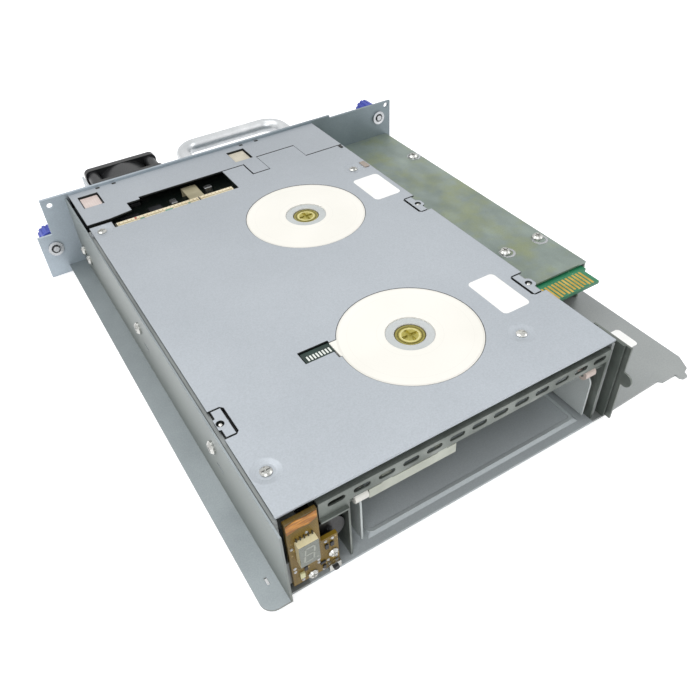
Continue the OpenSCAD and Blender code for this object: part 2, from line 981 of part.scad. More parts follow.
module rear_panel() {
  color([0.68, 0.71, 0.72])
    difference() {
      upright(sled_d, panel_t)
        polygon([[low_ear_x, 0], [panel_right, 0], [panel_right, panel_right_h],
          [panel_step_x, panel_right_h], [panel_step_x, panel_h], [ear_x, panel_h],
          [ear_x, low_ear_h], [low_ear_x, low_ear_h]]);
      for (x = [align_left_x, align_right_x])
        bore_y(align_r, x, [sled_d, panel_rear], align_z);
      for (place = [captive_left, captive_right])
        bar_y(ferrule_r + captive_hole_gap, place[0], [sled_d - over, panel_rear + over],
          place[1]);
      for (side = [-1, 1])
        bore_y(screw_r + screw_gap, handle_x + side * handle_span / 2, [sled_d, panel_rear],
          handle_z);
      fan_corner_bores(small_tap_r, [sled_d - over, panel_rear + over]);
      grille([sled_d - over, panel_rear + over]);
      upright(sled_d - over, panel_t + 2 * over)
        host_outline(pass_gap);
    }
}

module grille(y) {
  bar_y(grille_hole_r, fan_x, y, fan_z, $fn = pin_fn);
  for (ring = [1 : grille_rings])
    for (i = [0 : ring * grille_share - 1])
      translate([fan_x, 0, fan_z])
        rotate([0, i * 360 / (ring * grille_share), 0])
          bar_y(grille_hole_r, ring * grille_pitch, y, 0, $fn = pin_fn);
}

module fan_corner_bores(r, y) {
  for (sx = [-1, 1])
    for (sz = [-1, 1])
      bar_y(r, fan_x + sx * fan_hole_pitch / 2, y, fan_z + sz * fan_hole_pitch / 2,
        $fn = pin_fn);
}

module rear_cover() {
  color([0.66, 0.70, 0.73])
    difference() {
      union() {
        translate([0, 0, cover_z])
          linear_extrude(cover_t)
            polygon([
              [cover_left, rear_cover_front],
              [window_l, rear_cover_front],
              [rear_notch_l, rear_cover_front + rear_notch_rise],
              [rear_notch_l, rear_notch_step_y],
              [rear_notch_step_x, rear_notch_step_y],
              [rear_notch_step_x, rear_notch_y],
              [tooth_l, rear_notch_y],
              [tooth_l, rear_tooth_y],
              [tooth_r - tooth_gap, rear_tooth_y],
              [tooth_r - tooth_gap, tongue_y + join_gap],
              [tongue_r + tooth_gap, tongue_y + join_gap],
              [tongue_r + tooth_gap, rear_right_y + join_gap],
              [half_w, rear_right_y + join_gap],
              [half_w, sled_d],
              [cover_left, sled_d]
            ]);
        block([cover_left, half_w], [sled_d - cover_t, sled_d],
          [cover_z - rear_flange_h, drive_top]);
      }
      for (x = rear_window_x)
        block([x, x + rear_window_w], [rear_window_y, rear_window_y + rear_window_d],
          [cover_z - over, drive_top + over]);
    }
}

module window_pads() {
  color([0.80, 0.74, 0.62])
    for (x = rear_window_x)
      block([x + pad_gap, x + rear_window_w - pad_gap],
        [rear_window_y + pad_gap, rear_window_y + rear_window_d - pad_gap],
        [logic_z + board_t, cover_z - pad_drop]);
}

module handle() {
  color([0.75, 0.77, 0.78])
    difference() {
      union() {
        for (side = [-1, 1]) {
          bar_y(handle_dia / 2, handle_x + side * handle_span / 2,
            [panel_rear, handle_y - handle_bend], handle_z);
          translate([handle_x + side * (handle_span / 2 - handle_bend),
              handle_y - handle_bend, handle_z])
            rotate([0, 0, side > 0 ? 0 : 90])
              rotate_extrude(angle = 90)
                translate([handle_bend, 0])
                  circle(r = handle_dia / 2);
        }
        bar_x(handle_dia / 2, [handle_x - handle_span / 2 + handle_bend,
          handle_x + handle_span / 2 - handle_bend], handle_y, handle_z);
      }
      for (side = [-1, 1])
        bar_y(tap_r, handle_x + side * handle_span / 2,
          [panel_rear - over, panel_rear + handle_screw_depth], handle_z, $fn = pin_fn);
    }
}

// Fan

module fan_bracket() {
  color([0.70, 0.73, 0.72]) {
    difference() {
      block([fan_left - fan_cheek_gap - fan_cheek_t, fan_x + fan_size / 2],
        [panel_rear, fan_front], [fan_z - fan_size / 2, fan_z + fan_size / 2]);
      bar_y(fan_duct_r, fan_x, [panel_rear - over, fan_front + over], fan_z);
      fan_corner_bores(small_screw_r + screw_gap, [panel_rear - over, fan_front + over]);
    }
    block([fan_left - fan_cheek_gap - fan_cheek_t, fan_left - fan_cheek_gap],
      [panel_rear, fan_front + fan_cheek_len], [fan_z - fan_size / 2, fan_z + fan_size / 2]);
  }
}

module fan_flange(y) {
  low = fan_corner_r - fan_size / 2;
  block([fan_x + low, fan_x - low], y, [fan_z - fan_size / 2, fan_z + fan_size / 2]);
  block([fan_x - fan_size / 2, fan_x + fan_size / 2], y, [fan_z + low, fan_z - low]);
  for (sx = [-1, 1])
    for (sz = [-1, 1])
      bar_y(fan_corner_r, fan_x + sx * low, y, fan_z + sz * low);
}

module fan_frame() {
  color([0.13, 0.13, 0.14]) {
    difference() {
      union() {
        fan_flange([fan_front, fan_front + fan_flange_t]);
        fan_flange([fan_rear - fan_flange_t, fan_rear]);
        bar_y(fan_barrel_r, fan_x, [fan_front, fan_rear], fan_z, $fn = disc_fn);
        fan_corner_bores(fan_tube_r, [fan_front, fan_rear]);
      }
      bar_y(fan_duct_r, fan_x, [fan_front - over, fan_rear + over], fan_z, $fn = disc_fn);
      fan_corner_bores(small_screw_r + screw_gap, [fan_front - over, fan_rear + over]);
    }
    bar_y(fan_hub_r, fan_x, [fan_rear - fan_strut_t, fan_rear], fan_z);
    for (i = [0 : fan_strut_count - 1])
      translate([fan_x, 0, fan_z])
        rotate([0, i * 360 / fan_strut_count, 0])
          block([0, fan_duct_r + fan_strut_w / 2], [fan_rear - fan_strut_t, fan_rear],
            [-fan_strut_w / 2, fan_strut_w / 2]);
    bar_y(fan_pin_r, fan_x, [fan_rear - fan_strut_t - fan_pin_len, fan_rear], fan_z,
      $fn = pin_fn);
  }
}

module fan_rotor() {
  color([0.18, 0.18, 0.19])
    difference() {
      union() {
        bar_y(fan_hub_r, fan_x, [fan_rotor_y, fan_rotor_y + fan_rotor_len], fan_z);
        intersection() {
          bar_y(fan_duct_r - fan_tip_gap, fan_x,
            [fan_rotor_y, fan_rotor_y + fan_rotor_len], fan_z);
          translate([fan_x, fan_rotor_y + fan_rotor_len / 2, fan_z])
            for (i = [0 : fan_blades - 1])
              rotate([0, i * 360 / fan_blades, 0])
                rotate([fan_blade_tilt, 0, 0])
                  translate([fan_hub_r - fan_blade_t, -fan_blade_len / 2,
                      -fan_blade_t / 2])
                    cube([fan_duct_r, fan_blade_len, fan_blade_t]);
        }
      }
      bore_y(fan_pin_r + run_gap, fan_x,
        [fan_rear - fan_strut_t - fan_pin_len, fan_rotor_y + fan_rotor_len], fan_z);
    }
}

module panel_screws() {
  color([0.72, 0.72, 0.70]) {
    for (side = [-1, 1])
      translate([handle_x + side * handle_span / 2, sled_d, handle_z])
        rotate([90, 0, 0])
          m3_screw(panel_t + handle_screw_depth - captive_end);
    for (sx = [-1, 1])
      for (sz = [-1, 1])
        translate([fan_x + sx * fan_hole_pitch / 2, fan_rear,
            fan_z + sz * fan_hole_pitch / 2])
          rotate([-90, 0, 0])
            m2_screw(fan_rear - sled_d);
  }
}

// Captive thumbscrews

module screw_ferrules() {
  color([0.78, 0.79, 0.80])
    for (place = [captive_left, captive_right])
      difference() {
        union() {
          bar_y(ferrule_r, place[0], [sled_d - ferrule_flange_t, ferrule_end], place[1]);
          bar_y(ferrule_flange_r, place[0], [sled_d - ferrule_flange_t, sled_d],
            place[1]);
        }
        bar_y(ferrule_bore_r, place[0],
          [sled_d - ferrule_flange_t - over, ferrule_end + over], place[1]);
      }
}

module screw_ring(place) {
  color([0.60, 0.61, 0.62])
    difference() {
      bar_y(ring_r, place[0], [ring_y, ring_y + ring_t], place[1]);
      bar_y(ferrule_bore_r, place[0], [ring_y - over, ring_y + ring_t + over], place[1]);
    }
}

module thumbscrew(place) {
  color([0.22, 0.27, 0.62])
    difference() {
      bar_y(knob_r, place[0], [knob_y, knob_y + knob_len], place[1]);
      bar_y(knob_bore_r, place[0], [knob_y - over, knob_y + knob_bore_len], place[1]);
      for (i = [0 : knob_grip_count - 1])
        translate([place[0], 0, place[1]])
          rotate([0, i * 360 / knob_grip_count, 0])
            bar_y(knob_grip_r, knob_r, [knob_y + knob_rim, knob_y + knob_len + over], 0,
              $fn = pin_fn);
    }
  color([0.70, 0.71, 0.72]) {
    bar_y(captive_shank_r, place[0],
      [captive_tip_y + captive_tip_len, knob_y + knob_bore_len], place[1]);
    bar_y(captive_tip_r, place[0], [captive_tip_y, captive_tip_y + captive_tip_len], place[1]);
  }
}

module left_screw_ring() {
  screw_ring(captive_left);
}

module left_thumbscrew() {
  thumbscrew(captive_left);
}

module right_screw_ring() {
  screw_ring(captive_right);
}

module right_thumbscrew() {
  thumbscrew(captive_right);
}

// Interface channel

module channel_cover() {
  color([0.60, 0.64, 0.59])
    difference() {
      union() {
        difference() {
          block([channel_x, channel_x + channel_w], [channel_y, sled_d],
            [floor_t, channel_h]);
          block([channel_x + channel_t, channel_x + channel_w - channel_t],
            [channel_y - over, sled_d + over], [-over, channel_h - channel_t]);
        }
        for (i = [0 : len(channel_screw_x) - 1])
          bar_z(standoff_r, channel_x + channel_screw_x[i], channel_screw_y[i],
            [card_z + board_t, channel_h]);
      }
      for (i = [0 : len(channel_screw_x) - 1])
        bar_z(screw_r + screw_gap, channel_x + channel_screw_x[i], channel_screw_y[i],
          [-over, channel_h + over], $fn = pin_fn);
    }
}

module channel_screws() {
  color([0.74, 0.74, 0.72])
    for (i = [0 : len(channel_screw_x) - 1])
      translate([channel_x + channel_screw_x[i], channel_screw_y[i], channel_h])
        m3_screw(channel_screw_len);
}

module interface_board() {
  left = channel_x + channel_t + card_side_gap;
  right = channel_x + channel_w - channel_t - card_side_gap;
  color([0.10, 0.34, 0.20])
    difference() {
      union() {
        block([left, right], [channel_y - card_ear, sled_d - card_back_gap],
          [card_z, card_z + board_t]);
        block([left, right - card_right_in], [channel_y - card_reach, channel_y],
          [card_z, card_z + board_t]);
      }
      for (i = [0 : len(channel_screw_x) - 1])
        bore_z(screw_r + screw_gap, channel_x + channel_screw_x[i], channel_screw_y[i],
          [card_z, card_z + board_t]);
    }
}

module host_outline(gap) {
  polygon([
    [host_x - host_w / 2 - gap, host_z + host_h + gap],
    [host_x + host_w / 2 + gap, host_z + host_h + gap],
    [host_x + host_w / 2 - host_slant + gap, host_z - gap],
    [host_x - host_w / 2 + host_slant - gap, host_z - gap]
  ]);
}

module host_connector() {
  color([0.72, 0.74, 0.75])
    difference() {
      union() {
        block([host_x - host_w / 2 - host_lug, host_x + host_w / 2 + host_lug],
          [sled_d - host_body_d, sled_d], [host_z - host_wall, card_z]);
        upright(sled_d - host_wall, host_wall + panel_t + host_shell)
          host_outline(0);
      }
      upright(panel_rear, host_shell + over)
        polygon([
          [host_x - host_w / 2 + host_wall, host_z + host_h - host_wall],
          [host_x + host_w / 2 - host_wall, host_z + host_h - host_wall],
          [host_x + host_w / 2 - host_slant - host_wall, host_z + host_wall],
          [host_x - host_w / 2 + host_slant + host_wall, host_z + host_wall]
        ]);
    }
}

module side_screws() {
  color([0.76, 0.76, 0.74]) {
    for (y = side_hole_y) {
      translate([rail_out, y, side_hole_z])
        rotate([0, -90, 0])
          m3_screw(side_screw_len);
      translate([right_rail_in + rail_t, y, side_hole_z])
        rotate([0, 90, 0])
          pan_screw(screw_r, side_screw_len + right_rail_gap, screw_head_r, thin_head_h,
            [cross_len, cross_w, thin_head_h / 2], $fn = pin_fn);
    }
    for (y = rail_screw_y)
      translate([rail_out, y, rail_screw_z])
        rotate([0, -90, 0])
          m3_screw(rail_t + sheet_gap + rail_t);
  }
}

// Drive

module motor_places() {
  for (place = [supply, takeup])
    translate([place[0], place[1], 0])
      children();
}

module drive_chassis() {
  color([0.63, 0.66, 0.66])
    difference() {
      union() {
        for (side = [-1, 1])
          block(side > 0 ? [half_w - chassis_t, half_w] : [-half_w, chassis_t - half_w],
            [0, drive_d], [chassis_z, deck_top]);
        block([-half_w, half_w], [deck_front, deck_rear], [deck_z, deck_top]);
        block([-half_w, window_l - deck_gap], [deck_rear - over, drive_d],
          [deck_z, deck_top]);
        block([window_r + deck_gap, half_w], [deck_rear - over, drive_d],
          [deck_z, deck_top]);
        block([-half_w, half_w], [chassis_floor_y, drive_d], [chassis_z, chassis_floor_top]);
        block([-half_w, half_w], [drive_d - chassis_t, drive_d],
          [chassis_z, rear_wall_h]);
        block([-half_w, motor_plate_right], [motor_plate_y, motor_plate_y + motor_plate_t],
          [chassis_z, deck_top]);
        block([-half_w, screw_plate_right], [screw_plate_y, screw_plate_y + motor_plate_t],
          [screw_plate_z, deck_top]);
        block([-half_w, board_plate_right], [board_back, board_back + board_plate_t],
          [panel_board_z, board_plate_h]);
        for (place = screw_places)
          bar_z(boss_r, place[0], place[1], [deck_z - boss_h, cover_z - dish_depth]);
        for (place = board_post)
          bar_z(board_post_r, place[0], place[1], [chassis_z, logic_z]);
      }
      motor_places()
        translate([0, 0, deck_z - over])
          cylinder(r = deck_hole_r, h = deck_t + 2 * over, $fn = disc_fn);
      for (place = screw_places)
        bore_z(tap_r, place[0], place[1], [deck_z - boss_h, cover_z]);
      for (y = side_hole_y)
        bore_x(tap_r, [-half_w, half_w], y, side_hole_z);
      bore_y(motor_shaft_hole_r, motor_x, [motor_plate_y, motor_plate_y + motor_plate_t],
        motor_z);
      bore_y(journal_r + run_gap, motor_x, [motor_plate_y, screw_plate_y + motor_plate_t],
        lead_z);
      for (place = board_screw_places)
        bore_y(small_tap_r, place[0], [board_back, board_back + board_plate_t], place[1]);
    }
}

module cover_outline() {
  polygon([
    [cover_left, 0],
    [half_w, 0],
    [half_w, rear_right_y],
    [tongue_r, rear_right_y],
    [tongue_r, tongue_y],
    [tooth_r, tongue_y],
    [tooth_r, rear_tooth_y - join_gap],
    [tooth_l - join_gap, rear_tooth_y - join_gap],
    [tooth_l - join_gap, rear_notch_y - join_gap],
    [window_r, rear_notch_y - join_gap],
    [window_r, window_y],
    [window_l, window_y],
    [window_l, drive_d],
    [cover_left, drive_d]
  ]);
}

// Cut round a clip: three edges of a rounded window, and a hook in from each end
module clip_slit(side, y) {
  translate([side * half_w, y, cover_z - over])
    mirror([side > 0 ? 0 : 1, 0, 0])
      difference() {
        linear_extrude(cover_t + 2 * over)
          clip_window();
        translate([0, 0, -over])
          linear_extrude(cover_t + 4 * over)
            clip_tab();
      }
}

module clip_window() {
  half = clip_len / 2;
  polygon([
    [-clip_w + clip_corner_r, -half], [0, -half], [0, half], [-clip_w + clip_corner_r, half],
    [-clip_w, half - clip_corner_r], [-clip_w, clip_corner_r - half]
  ]);
}

module clip_tab() {
  half = clip_len / 2 - clip_line;
  left = clip_side_line - clip_w;
  square_at([left, -clip_hook_w], [-half, half]);
  translate([-clip_hook_w - clip_line, 0])
    circle(r = clip_lobe_r);
}

module square_at(x, y) {
  translate([x[0], y[0]])
    square([x[1] - x[0], y[1] - y[0]]);
}

module top_cover() {
  color([0.70, 0.73, 0.77]) {
    difference() {
      union() {
        translate([0, 0, cover_z])
          linear_extrude(cover_t)
            cover_outline();
        for (place = screw_places)
          translate([place[0], place[1], cover_z - dish_depth])
            cylinder(r1 = dish_flat_r, r2 = dish_r, h = dish_depth);
      }
      for (place = screw_places) {
        translate([place[0], place[1], drive_top - dish_depth])
          cylinder(r1 = dish_flat_r, r2 = dish_r, h = dish_depth);
        bore_z(screw_r + screw_gap, place[0], place[1], [cover_z - dish_depth, drive_top]);
      }
      motor_places()
        translate([0, 0, cover_z - over])
          cylinder(r = disc_r + pass_gap, h = cover_t + 2 * over, $fn = disc_fn);
      block([conn_window[0], conn_window[0] + conn_window_w],
        [conn_window[1], conn_window[1] + conn_window_d], [cover_z - over, drive_top + over]);
      block([conn_window[0] + conn_window_w - over, supply[0]],
        [tail_y - tail_w / 2 - pass_gap, tail_y + tail_w / 2 + pass_gap],
        [cover_z - over, drive_top + over]);
      for (i = [0 : len(clip_y) - 1]) {
        clip_slit(clip_side[i], clip_y[i]);
        clip_hole(clip_side[i], clip_y[i]);
      }
    }
    for (i = [0 : len(clip_y) - 1])
      clip_strap(clip_side[i], clip_y[i]);
  }
}

// Strap on the deck that carries a clip's tab, under its window
module clip_strap(side, y) {
  difference() {
    translate([side * half_w, y, 0])
      mirror([side > 0 ? 0 : 1, 0, 0])
        block([clip_side_line - clip_w, -clip_hook_w],
          [-clip_len / 2 - over, clip_len / 2 + over], [deck_top, cover_z]);
    clip_hole(side, y);
  }
}

module clip_hole(side, y) {
  bore_z(clip_hole_r, side * (half_w - clip_hook_w - clip_line), y, [deck_top, drive_top]);
}

module cover_screws() {
  color([0.76, 0.76, 0.74])
    for (place = screw_places)
      translate([place[0], place[1], drive_top - dish_depth])
        pan_screw(screw_r, deck_t + boss_h, flat_head_r, flat_head_h,
          [cross_len, small_cross_w, flat_head_h / 2], $fn = pin_fn);
}

module motor_discs() {
  color([0.90, 0.89, 0.86])
    motor_places()
      difference() {
        translate([0, 0, deck_top])
          cylinder(r = disc_r, h = drive_top - disc_drop - deck_top, $fn = disc_fn);
        translate([0, 0, drive_top - disc_drop - recess_depth])
          cylinder(r = recess_r, h = 2 * over);
        translate([0, 0, deck_top - over])
          cylinder(r = hub_r + screw_gap, h = drive_top - deck_top + 2 * over);
      }
  color([0.90, 0.89, 0.86])
    block([tail_x, supply[0] - disc_r + tail_join],
      [tail_y - tail_w / 2, tail_y + tail_w / 2], [deck_top, drive_top - disc_drop]);
}

module motor_hubs() {
  color([0.72, 0.60, 0.33])
    motor_places()
      difference() {
        union() {
          translate([0, 0, stator_z])
            cylinder(r = hub_r, h = drive_top - hub_drop - stator_z);
          translate([0, 0, stator_z - hub_flange_t])
            cylinder(r = hub_flange_r, h = hub_flange_t);
        }
        translate([0, 0, stator_z - hub_flange_t - over])
          cylinder(r = shaft_r + run_gap, h = shaft_top + shaft_end_gap
            - stator_z + hub_flange_t + over);
        for (turn = [0, 90])
          rotate([0, 0, turn])
            translate([-hub_cross_len / 2, -hub_cross_w / 2,
                drive_top - hub_drop - hub_cross_depth])
              cube([hub_cross_len, hub_cross_w, 2 * over]);
      }
}

module motor_stators() {
  color([0.55, 0.33, 0.18])
    motor_places()
      difference() {
        union() {
          translate([0, 0, stator_z])
            cylinder(r = pole_core_r, h = deck_top - stator_z);
          difference() {
            translate([0, 0, stator_z])
              cylinder(r = stator_r, h = rotor_top - pole_gap - stator_z);
            translate([0, 0, stator_z - over])
              cylinder(r = pole_shoe_r, h = deck_top);
            for (i = [0 : pole_count - 1])
              rotate([0, 0, (i + 1 / 2) * 360 / pole_count])
                translate([0, -pole_shoe_gap / 2, stator_z - over])
                  cube([disc_r, pole_shoe_gap, deck_top]);
          }
          for (i = [0 : pole_count - 1])
            rotate([0, 0, i * 360 / pole_count])
              translate([hub_r + pass_gap, -pole_w / 2, stator_z])
                cube([pole_shoe_r - hub_r, pole_w, rotor_top - pole_gap - stator_z]);
        }
        translate([0, 0, stator_z - over])
          cylinder(r = hub_r + screw_gap, h = deck_top);
      }
}

module rotor_cup() {
  translate([0, 0, rotor_z])
    difference() {
      cylinder(r = rotor_r, h = rotor_top - rotor_z, $fn = disc_fn);
      translate([0, 0, rotor_plate_t])
        cylinder(r = rotor_r - rotor_wall, h = rotor_top, $fn = disc_fn);
    }
  translate([0, 0, rotor_z])
    cylinder(r = shaft_r, h = shaft_top - rotor_z);
}

module supply_rotor() {
  color([0.35, 0.36, 0.38])
    translate([supply[0], supply[1], 0])
      rotor_cup();
}

module supply_clutch() {
  color([0.20, 0.20, 0.21])
    translate([supply[0], supply[1], rotor_z - clutch_t]) {
      cylinder(r = clutch_r, h = clutch_t);
      intersection() {
        translate([0, 0, -clutch_tooth_h])
          difference() {
            cylinder(r = clutch_r, h = clutch_tooth_h + over / 2);
            translate([0, 0, -over])
              cylinder(r = clutch_in_r, h = clutch_t + clutch_tooth_h);
          }
        for (i = [0 : clutch_teeth / 2 - 1])
          rotate([0, 0, i * 360 / clutch_teeth])
            translate([-clutch_r - over, -clutch_tooth_w / 2, -clutch_tooth_h])
              cube([2 * (clutch_r + over), clutch_tooth_w, clutch_t]);
      }
    }
}

module takeup_rotor() {
  color([0.35, 0.36, 0.38])
    translate([takeup[0], takeup[1], 0])
      rotor_cup();
}

module takeup_reel() {
  color([0.16, 0.16, 0.17])
    translate([takeup[0], takeup[1], reel_z])
      difference() {
        union() {
          cylinder(r = reel_hub_r, h = rotor_z - reel_z, $fn = disc_fn);
          cylinder(r = reel_r, h = reel_flange_t, $fn = disc_fn);
          translate([0, 0, tape_w + reel_flange_t + 2 * reel_slack])
            cylinder(r = reel_r, h = reel_flange_t, $fn = disc_fn);
        }
        translate([0, 0, -over])
          cylinder(r = reel_hub_r - reel_wall, h = rotor_z - reel_z - reel_wall + over);
      }
}

module motor_connector() {
  color([0.12, 0.22, 0.18])
    block([conn_window[0] + conn_inset, tail_x],
      [conn_window[1] + conn_inset, conn_window[1] + conn_window_d - conn_inset],
      [deck_top, drive_top - conn_drop]);
  color([0.90, 0.90, 0.86])
    for (i = [0 : conn_pins - 1])
      translate([conn_window[0] + conn_inset + conn_pitch * (i + 1),
          conn_window[1] + conn_inset + conn_pin_in, drive_top - conn_drop])
        cube([conn_pin_w, conn_pin_len, conn_pin_h]);
}

module front_frame() {
  color([0.55, 0.59, 0.55])
    difference() {
      union() {
        block([strip_left, strip_right], [-strip_front, strip_t - strip_front],
          [strip_bottom, strip_top]);
        block([strip_left, strip_right], [-strip_front, strip_fold],
          [strip_top - strip_t, strip_top]);
        block([strip_left, leg_left_x], [-strip_front, strip_t - strip_front],
          [shelf_z, strip_bottom + over]);
        block([strip_left, leg_left_x], [-strip_front - shelf_reach, shelf_len],
          [shelf_z, shelf_z + strip_t]);
        for (x = [leg_left_x, leg_right_x])
          block([x, x + strip_t], [-strip_front, leg_len], [floor_t, strip_top]);
        bar_x(slot_pin_r, [leg_left_x, left_roller_x + slot_roller_len / 2 + pass_gap],
          slot_roller_y, slot_roller_z, $fn = pin_fn);
        bar_x(slot_pin_r, [right_roller_x - slot_roller_len / 2 - pass_gap,
          leg_right_x + strip_t], slot_roller_y, slot_roller_z, $fn = pin_fn);
      }
      for (i = [0 : slot_count - 1])
        translate([strip_left + slot_start + i * slot_pitch, 0, slot_z]) {
          translate([(slot_h - slot_len) / 2, -over, -slot_h / 2])
            translate([0, -strip_front, 0])
              cube([slot_len - slot_h, strip_t + 2 * over, slot_h]);
          for (side = [-1, 1])
            bore_y(slot_h / 2, side * (slot_len - slot_h) / 2,
              [-strip_front, strip_t - strip_front], 0);
        }
    }
}

module slot_roller(x) {
  difference() {
    bar_x(slot_roller_r, [x - slot_roller_len / 2, x + slot_roller_len / 2],
      slot_roller_y, slot_roller_z);
    bore_x(slot_pin_r + run_gap, [x - slot_roller_len / 2, x + slot_roller_len / 2],
      slot_roller_y, slot_roller_z);
  }
}

module left_slot_roller() {
  color([0.90, 0.89, 0.86])
    slot_roller(left_roller_x);
}

module right_slot_roller() {
  color([0.80, 0.68, 0.64])
    slot_roller(right_roller_x);
}

module slot_bar() {
  color([0.90, 0.89, 0.86]) {
    block([bar_left, bar_right], [strip_t - strip_front, bar_back], [bar_bottom, bar_top]);
    for (x = bar_lugs)
      block([x, x + bar_lug_w], [strip_t - strip_front, bar_back], [bar_bottom, bar_top + bar_up]);
  }
}

module carriage() {
  color([0.58, 0.61, 0.62]) {
    difference() {
      union() {
        block([bay_left - plate_t, bay_left], [carriage_front, carriage_rear],
          [plate_z, plate_left_top]);
        block([bay_right, bay_right + plate_t], [carriage_front, carriage_rear],
          [plate_z, plate_right_top]);
        block([bay_left - plate_t, bay_right + plate_t], [carriage_floor_y, carriage_rear],
          [plate_z, plate_z + plate_t]);
      }
      carriage_corner(bay_left, plate_left_top);
      carriage_corner(bay_right, plate_right_top);
    }
    difference() {
      union() {
        block([motor_x - lug_half, motor_x + lug_half], [lug_y, lug_y + lug_len],
          [lead_z - lug_half, lead_z + lug_half]);
        block([motor_x, bay_left - plate_t], [lug_y, lug_y + lug_len],
          [plate_left_top - lug_arm_t, plate_left_top]);
      }
      bar_y(lead_r + run_gap, motor_x, [lug_y - over, lug_y + lug_len + over], lead_z);
    }
  }
}

module carriage_corner(x, top) {
  translate([x - plate_t - over, carriage_front, top])
    difference() {
      translate([0, -over, -carriage_corner_r])
        cube([2 * (plate_t + over), carriage_corner_r + over, carriage_corner_r + over]);
      bar_x(carriage_corner_r, [-over, 2 * (plate_t + 2 * over)], carriage_corner_r,
        -carriage_corner_r);
    }
}

module load_motor() {
  color([0.14, 0.14, 0.15])
    bar_y(motor_r, motor_x, [motor_front, motor_plate_y], motor_z);
  color([0.72, 0.74, 0.75])
    bar_y(motor_shaft_r + motor_boss_t, motor_x, [motor_front - motor_boss_t, motor_front],
      motor_z);
}

module gear_outline(teeth, phase) {
  pitch_r = gear_module * teeth / 2;
  root_r = pitch_r - gear_root_share * gear_module;
  tip_r = pitch_r + gear_tip_share * gear_module;
  step = 360 / teeth;
  circle(r = root_r);
  for (i = [0 : teeth - 1])
    rotate([0, 0, (i + phase) * step])
      polygon([
        [root_r * root_in_share, -root_r * sin(tooth_root_share * step)],
        [tip_r, -tip_r * sin(tooth_tip_share * step)],
        [tip_r, tip_r * sin(tooth_tip_share * step)],
        [root_r * root_in_share, root_r * sin(tooth_root_share * step)]
      ]);
}

module load_pinion() {
  color([0.80, 0.66, 0.34])
    translate([motor_x, 0, motor_z])
      union() {
        upright(gear_y, gear_w)
          rotate([0, 0, 90])
            gear_outline(pinion_teeth, 0);
        bar_y(motor_shaft_r, 0, [motor_plate_y, gear_y + over], 0, $fn = pin_fn);
      }
}

module load_screw() {
  color([0.86, 0.84, 0.78])
    translate([motor_x, 0, lead_z]) {
      upright(gear_y, gear_w)
        rotate([0, 0, -90])
          gear_outline(gear_teeth, 1 / 2);
      bar_y(lead_r, 0, [gear_y, screw_plate_y - pass_gap], 0);
      bar_y(journal_r, 0, [motor_plate_y, screw_plate_y + motor_plate_t], 0, $fn = pin_fn);
    }
}

// Heads and tape path

module head_base() {
  color([0.66, 0.68, 0.69]) {
    block([head_base_x, head_base_x + head_base_w], [head_base_y, head_base_y + head_base_d],
      [chassis_floor_top, head_floor_top]);
    difference() {
      union() {
        block([head_wall_x, head_wall_right],
          [head_screw_y - head_arm_w / 2, head_pin_y + head_arm_w / 2],
          [chassis_floor_top, head_bridge_z + head_base_t]);
        block([head_pin_x - head_arm_w / 2, head_wall_right],
          [head_screw_y - head_arm_w / 2, head_pin_y + head_arm_w / 2],
          [head_bridge_z, head_bridge_z + head_base_t]);
      }
      bore_z(head_lead_r + run_gap, head_pin_x, head_screw_y,
        [head_bridge_z, head_bridge_z + head_base_t]);
    }
    bar_z(head_pin_r, head_pin_x, head_pin_y, [chassis_floor_top, head_bridge_z + over],
      $fn = pin_fn);
  }
}

module head_carriage() {
  color([0.24, 0.25, 0.27])
    difference() {
      block([head_pin_x - head_arm_w / 2, head_pin_x + head_arm_w / 2],
        [head_screw_y - head_arm_w / 2, head_pin_y + head_arm_w / 2],
        [head_arm_z, head_arm_z + head_arm_h]);
      bore_z(head_lead_r + run_gap, head_pin_x, head_screw_y,
        [head_arm_z, head_arm_z + head_arm_h]);
      bore_z(head_pin_r + run_gap, head_pin_x, head_pin_y, [head_arm_z, head_arm_z + head_arm_h]);
    }
}

module tape_head() {
  color([0.70, 0.71, 0.73])
    block([head_face_x, head_pin_x - head_arm_w / 2],
      [head_y - head_len / 2, head_y + head_len / 2], [head_z, head_z + head_h]);
}

module head_screw() {
  color([0.76, 0.76, 0.74])
    bar_z(head_lead_r, head_pin_x, head_screw_y,
      [head_floor_top + head_motor_h, head_bridge_z + head_base_t], $fn = pin_fn);
}

module head_motor() {
  color([0.30, 0.31, 0.33])
    bar_z(head_motor_r, head_pin_x, head_screw_y,
      [head_floor_top, head_floor_top + head_motor_h - pass_gap]);
}

module guide_posts() {
  color([0.78, 0.79, 0.80])
    for (place = roller_places) {
      bar_z(post_r, place[0], place[1], [head_floor_top, post_top], $fn = pin_fn);
      bar_z(post_collar_r, place[0], place[1], [head_floor_top, roller_z - tape_gap],
        $fn = pin_fn);
    }
}

module guide_roller(i) {
  full_h = tape_w + 2 * tape_gap + 2 * roller_flange_t;
  color([0.86, 0.86, 0.84])
    translate([roller_places[i][0], roller_places[i][1], roller_z])
      difference() {
        union() {
          cylinder(r = roller_r, h = full_h);
          for (z = [0, full_h - roller_flange_t])
            translate([0, 0, z])
              cylinder(r = roller_flange_r, h = roller_flange_t);
        }
        translate([0, 0, -over])
          cylinder(r = post_r + run_gap, h = full_h + 2 * over, $fn = pin_fn);
      }
}

module guide_roller_1() {
  guide_roller(0);
}

module guide_roller_2() {
  guide_roller(1);
}

module guide_roller_3() {
  guide_roller(2);
}

module guide_roller_4() {
  guide_roller(3);
}

// Boards

module logic_board() {
  color([0.11, 0.32, 0.20])
    difference() {
      block(logic_x, logic_y, [logic_z, logic_z + board_t]);
      for (side = [-1, 1])
        bore_z(screw_r + screw_gap, side * logic_post_x, logic_post_y,
          [logic_z, logic_z + board_t]);
    }
}

